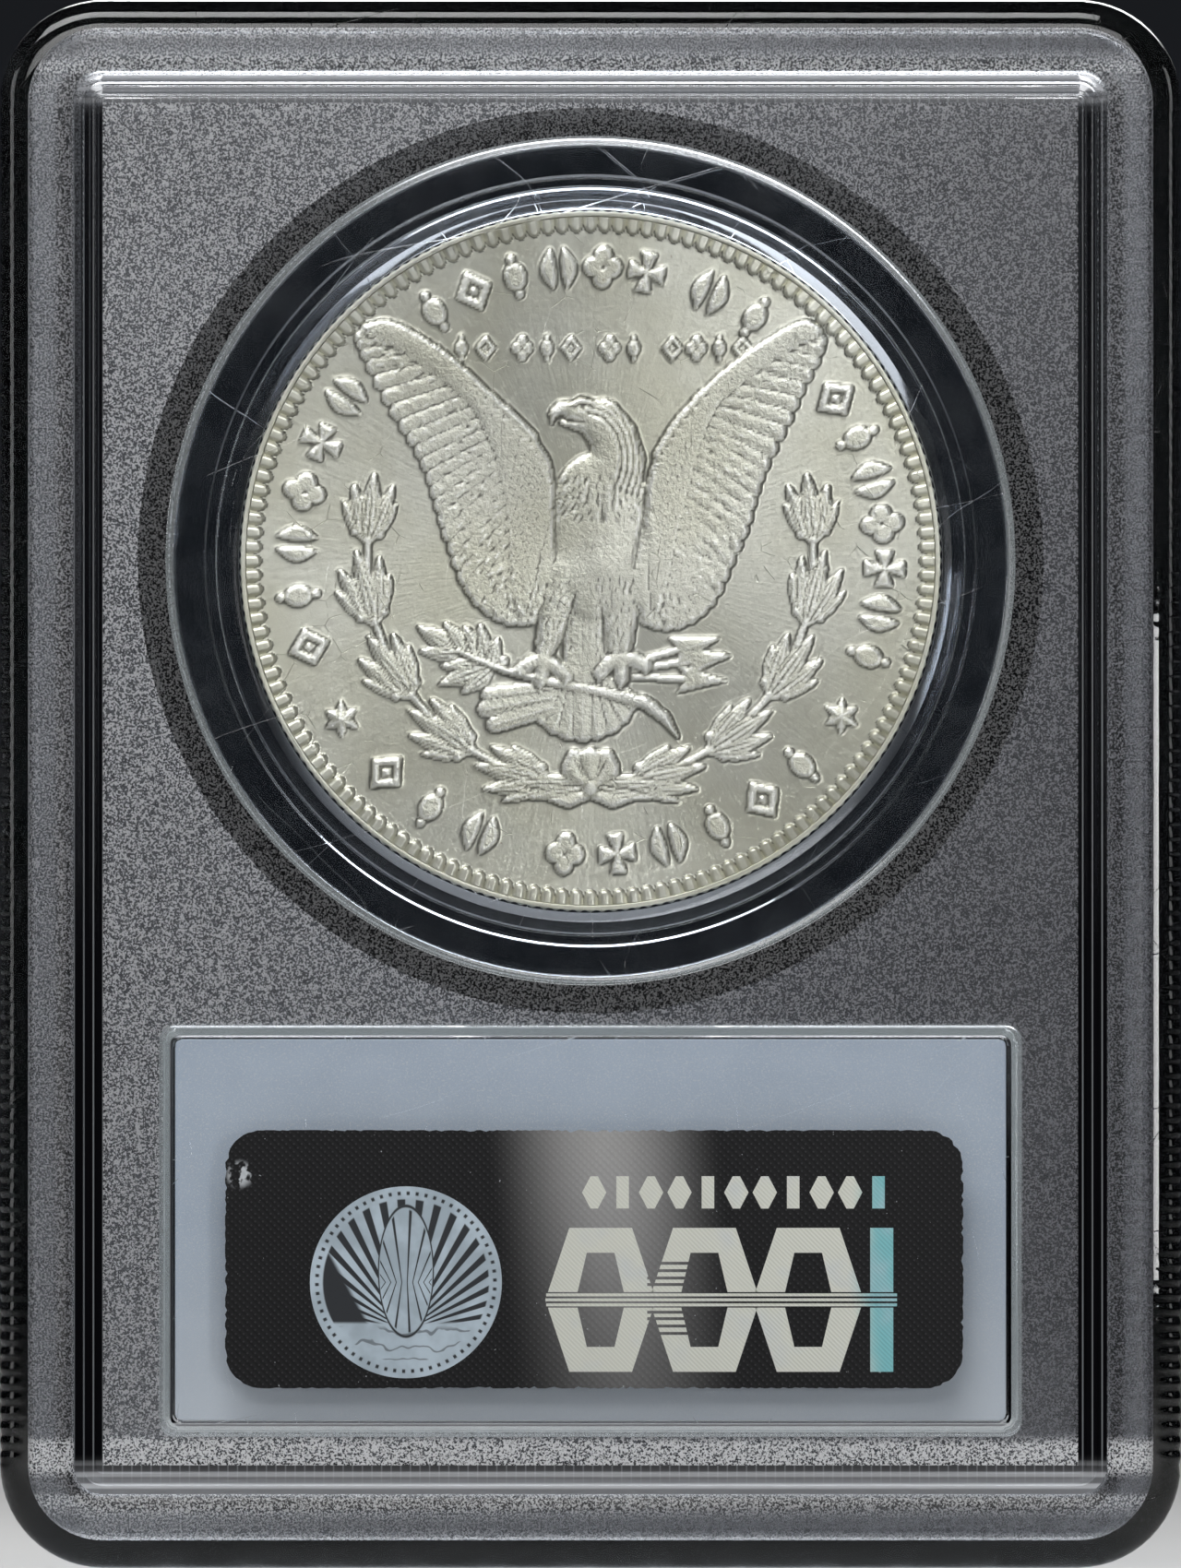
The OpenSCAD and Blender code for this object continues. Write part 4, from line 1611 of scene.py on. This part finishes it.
polished = make_polished()
frosted = make_frosted("clear_frosted", (0.50, 0.64), 0.012, 0.84)
# Painted shade: a near-black haze over most of the coin window's bevel.
bevel_painted_dark = make_frosted("clear_bevel", (0.94, 0.88), 0.003, 0.13, worn=False)
# The ridge, rim and steps materials paint highlights, reflections and shade into their haze.
ridge = make_edge_line()
rim = make_rim("clear_rim", CARD_Z, WINDOW_H / 2 + 0.02, 0.14, 0.26, (0.88, 0.42))
steps = make_rim("clear_steps", SLAB_H / 2, SLAB_H / 2 - STEP_IN - 0.2, 2.0, 0.62, (0.66, 0.34))
inside = make_inner()
ring_clear = make_ring()
weld = make_weld()
card_back = make_card_back()
card_front = make_card_front()
silver = make_silver()
foil = make_foil()
printed = make_print()
medallion = make_medallion()

ride(make_shell("back_shell_moulded", place_back), "holder", "back_shell", "back_shell")
ride(make_shell("front_shell_moulded", place_front), "holder", "front_shell", "front_shell")
ride(make_weld_bead(), "holder", "weld", "weld_bead")
ride(make_coin_ring(), "holder", "ring", "coin_ring")
ride(make_card_piece(), "holder", "card", "label_card")
ride(make_seal_piece(), "holder", "foil", "foil_seal")
for piece in make_seal_prints():
    ride(piece, "holder", "foil")
ride(coin_flan(), "coin", "coin", "coin")
ride(coin_face("coin_reverse", reverse_face(), place_back, silver), "coin", "coin")
ride(coin_face("coin_obverse", obverse_face(), place_front, silver), "coin", "coin")
ride(toothed_border("coin_reverse_teeth", place_back, silver), "coin", "coin")
ride(toothed_border("coin_obverse_teeth", place_front, silver), "coin", "coin")

# ---------------------------------------------------------------- stage, lights and camera
CAMERA_AWAY = 0.9
VIEW_HIGH = 0.0852
SENSOR = 36.0
FLOOR_R = 0.45
FLOOR_SIDES = 96
MIDDLE = (0.0, 0.0, SLAB_H * MM / 2)
LABEL = (0.0, 0.0, CARD_Z * MM)
WORLD = (0.010, 0.011, 0.013, 1.0)
LAMPS = (
    # name, place, target, width and height, watts, spread in degrees
    ("key_back", (-0.03, -0.34, 0.155), MIDDLE, (0.24, 0.06), 0.018, 60.0),
    ("low_back", (0.12, -0.34, 0.030), LABEL, (0.05, 0.05), 0.0042, 40.0),
    ("top_back", (-0.05, -0.17, 0.25), MIDDLE, (0.26, 0.08), 0.128, 100.0),
    ("floor_pool", (0.0, -0.15, 0.45), (0.0, -0.15, 0.0), (0.20, 0.06), 0.14, 28.0),
    ("left_back", (-0.34, -0.20, 0.10), MIDDLE, (0.10, 0.22), 0.016, 70.0),
    ("right_back", (0.36, -0.16, 0.12), MIDDLE, (0.08, 0.20), 0.013, 70.0),
    ("top_front", (0.06, 0.26, 0.26), MIDDLE, (0.34, 0.14), 0.30, 60.0),
    ("key_front", (0.03, 0.34, 0.155), MIDDLE, (0.24, 0.06), 0.0087, 60.0),
)


def make_stage():
    """A plain round floor, just under the slab's edge."""
    mesh = bpy.data.meshes.new("floor")
    turns = np.linspace(0, 2 * math.pi, FLOOR_SIDES + 1)[:-1]
    verts = [(*polar(FLOOR_R, a), -0.0002) for a in turns]
    mesh.from_pydata(verts, [], [tuple(range(FLOOR_SIDES))])
    mesh.materials.append(make_floor())
    floor = bpy.data.objects.new("floor", mesh)
    bpy.context.scene.collection.objects.link(floor)


def area_lamp(name, place, target, size, power, spread):
    data = bpy.data.lights.new(name, "AREA")
    data.shape = "RECTANGLE"
    data.size, data.size_y = size
    data.energy = power
    data.spread = math.radians(spread)
    lamp = bpy.data.objects.new(name, data)
    lamp.location = place
    lamp.rotation_euler = (Vector(target) - Vector(place)).to_track_quat("-Z", "Y").to_euler()
    lamp.visible_camera = False
    bpy.context.scene.collection.objects.link(lamp)


def make_lights():
    for lamp in LAMPS:
        area_lamp(*lamp)
    world = bpy.data.worlds.new("studio")
    world.use_nodes = True
    world.node_tree.nodes["Background"].inputs[0].default_value = WORLD
    bpy.context.scene.world = world
    bpy.context.scene.view_settings.view_transform = "Standard"


def make_camera():
    data = bpy.data.cameras.new("camera")
    data.sensor_width = SENSOR
    data.lens = SENSOR * CAMERA_AWAY / VIEW_HIGH
    data.clip_end = 20.0
    camera = bpy.data.objects.new("camera", data)
    camera.location = (0.0, -CAMERA_AWAY, SLAB_H * MM / 2)
    camera.rotation_euler = (math.pi / 2, 0.0, 0.0)
    bpy.context.scene.collection.objects.link(camera)
    bpy.context.scene.camera = camera


make_stage()
make_lights()
make_camera()
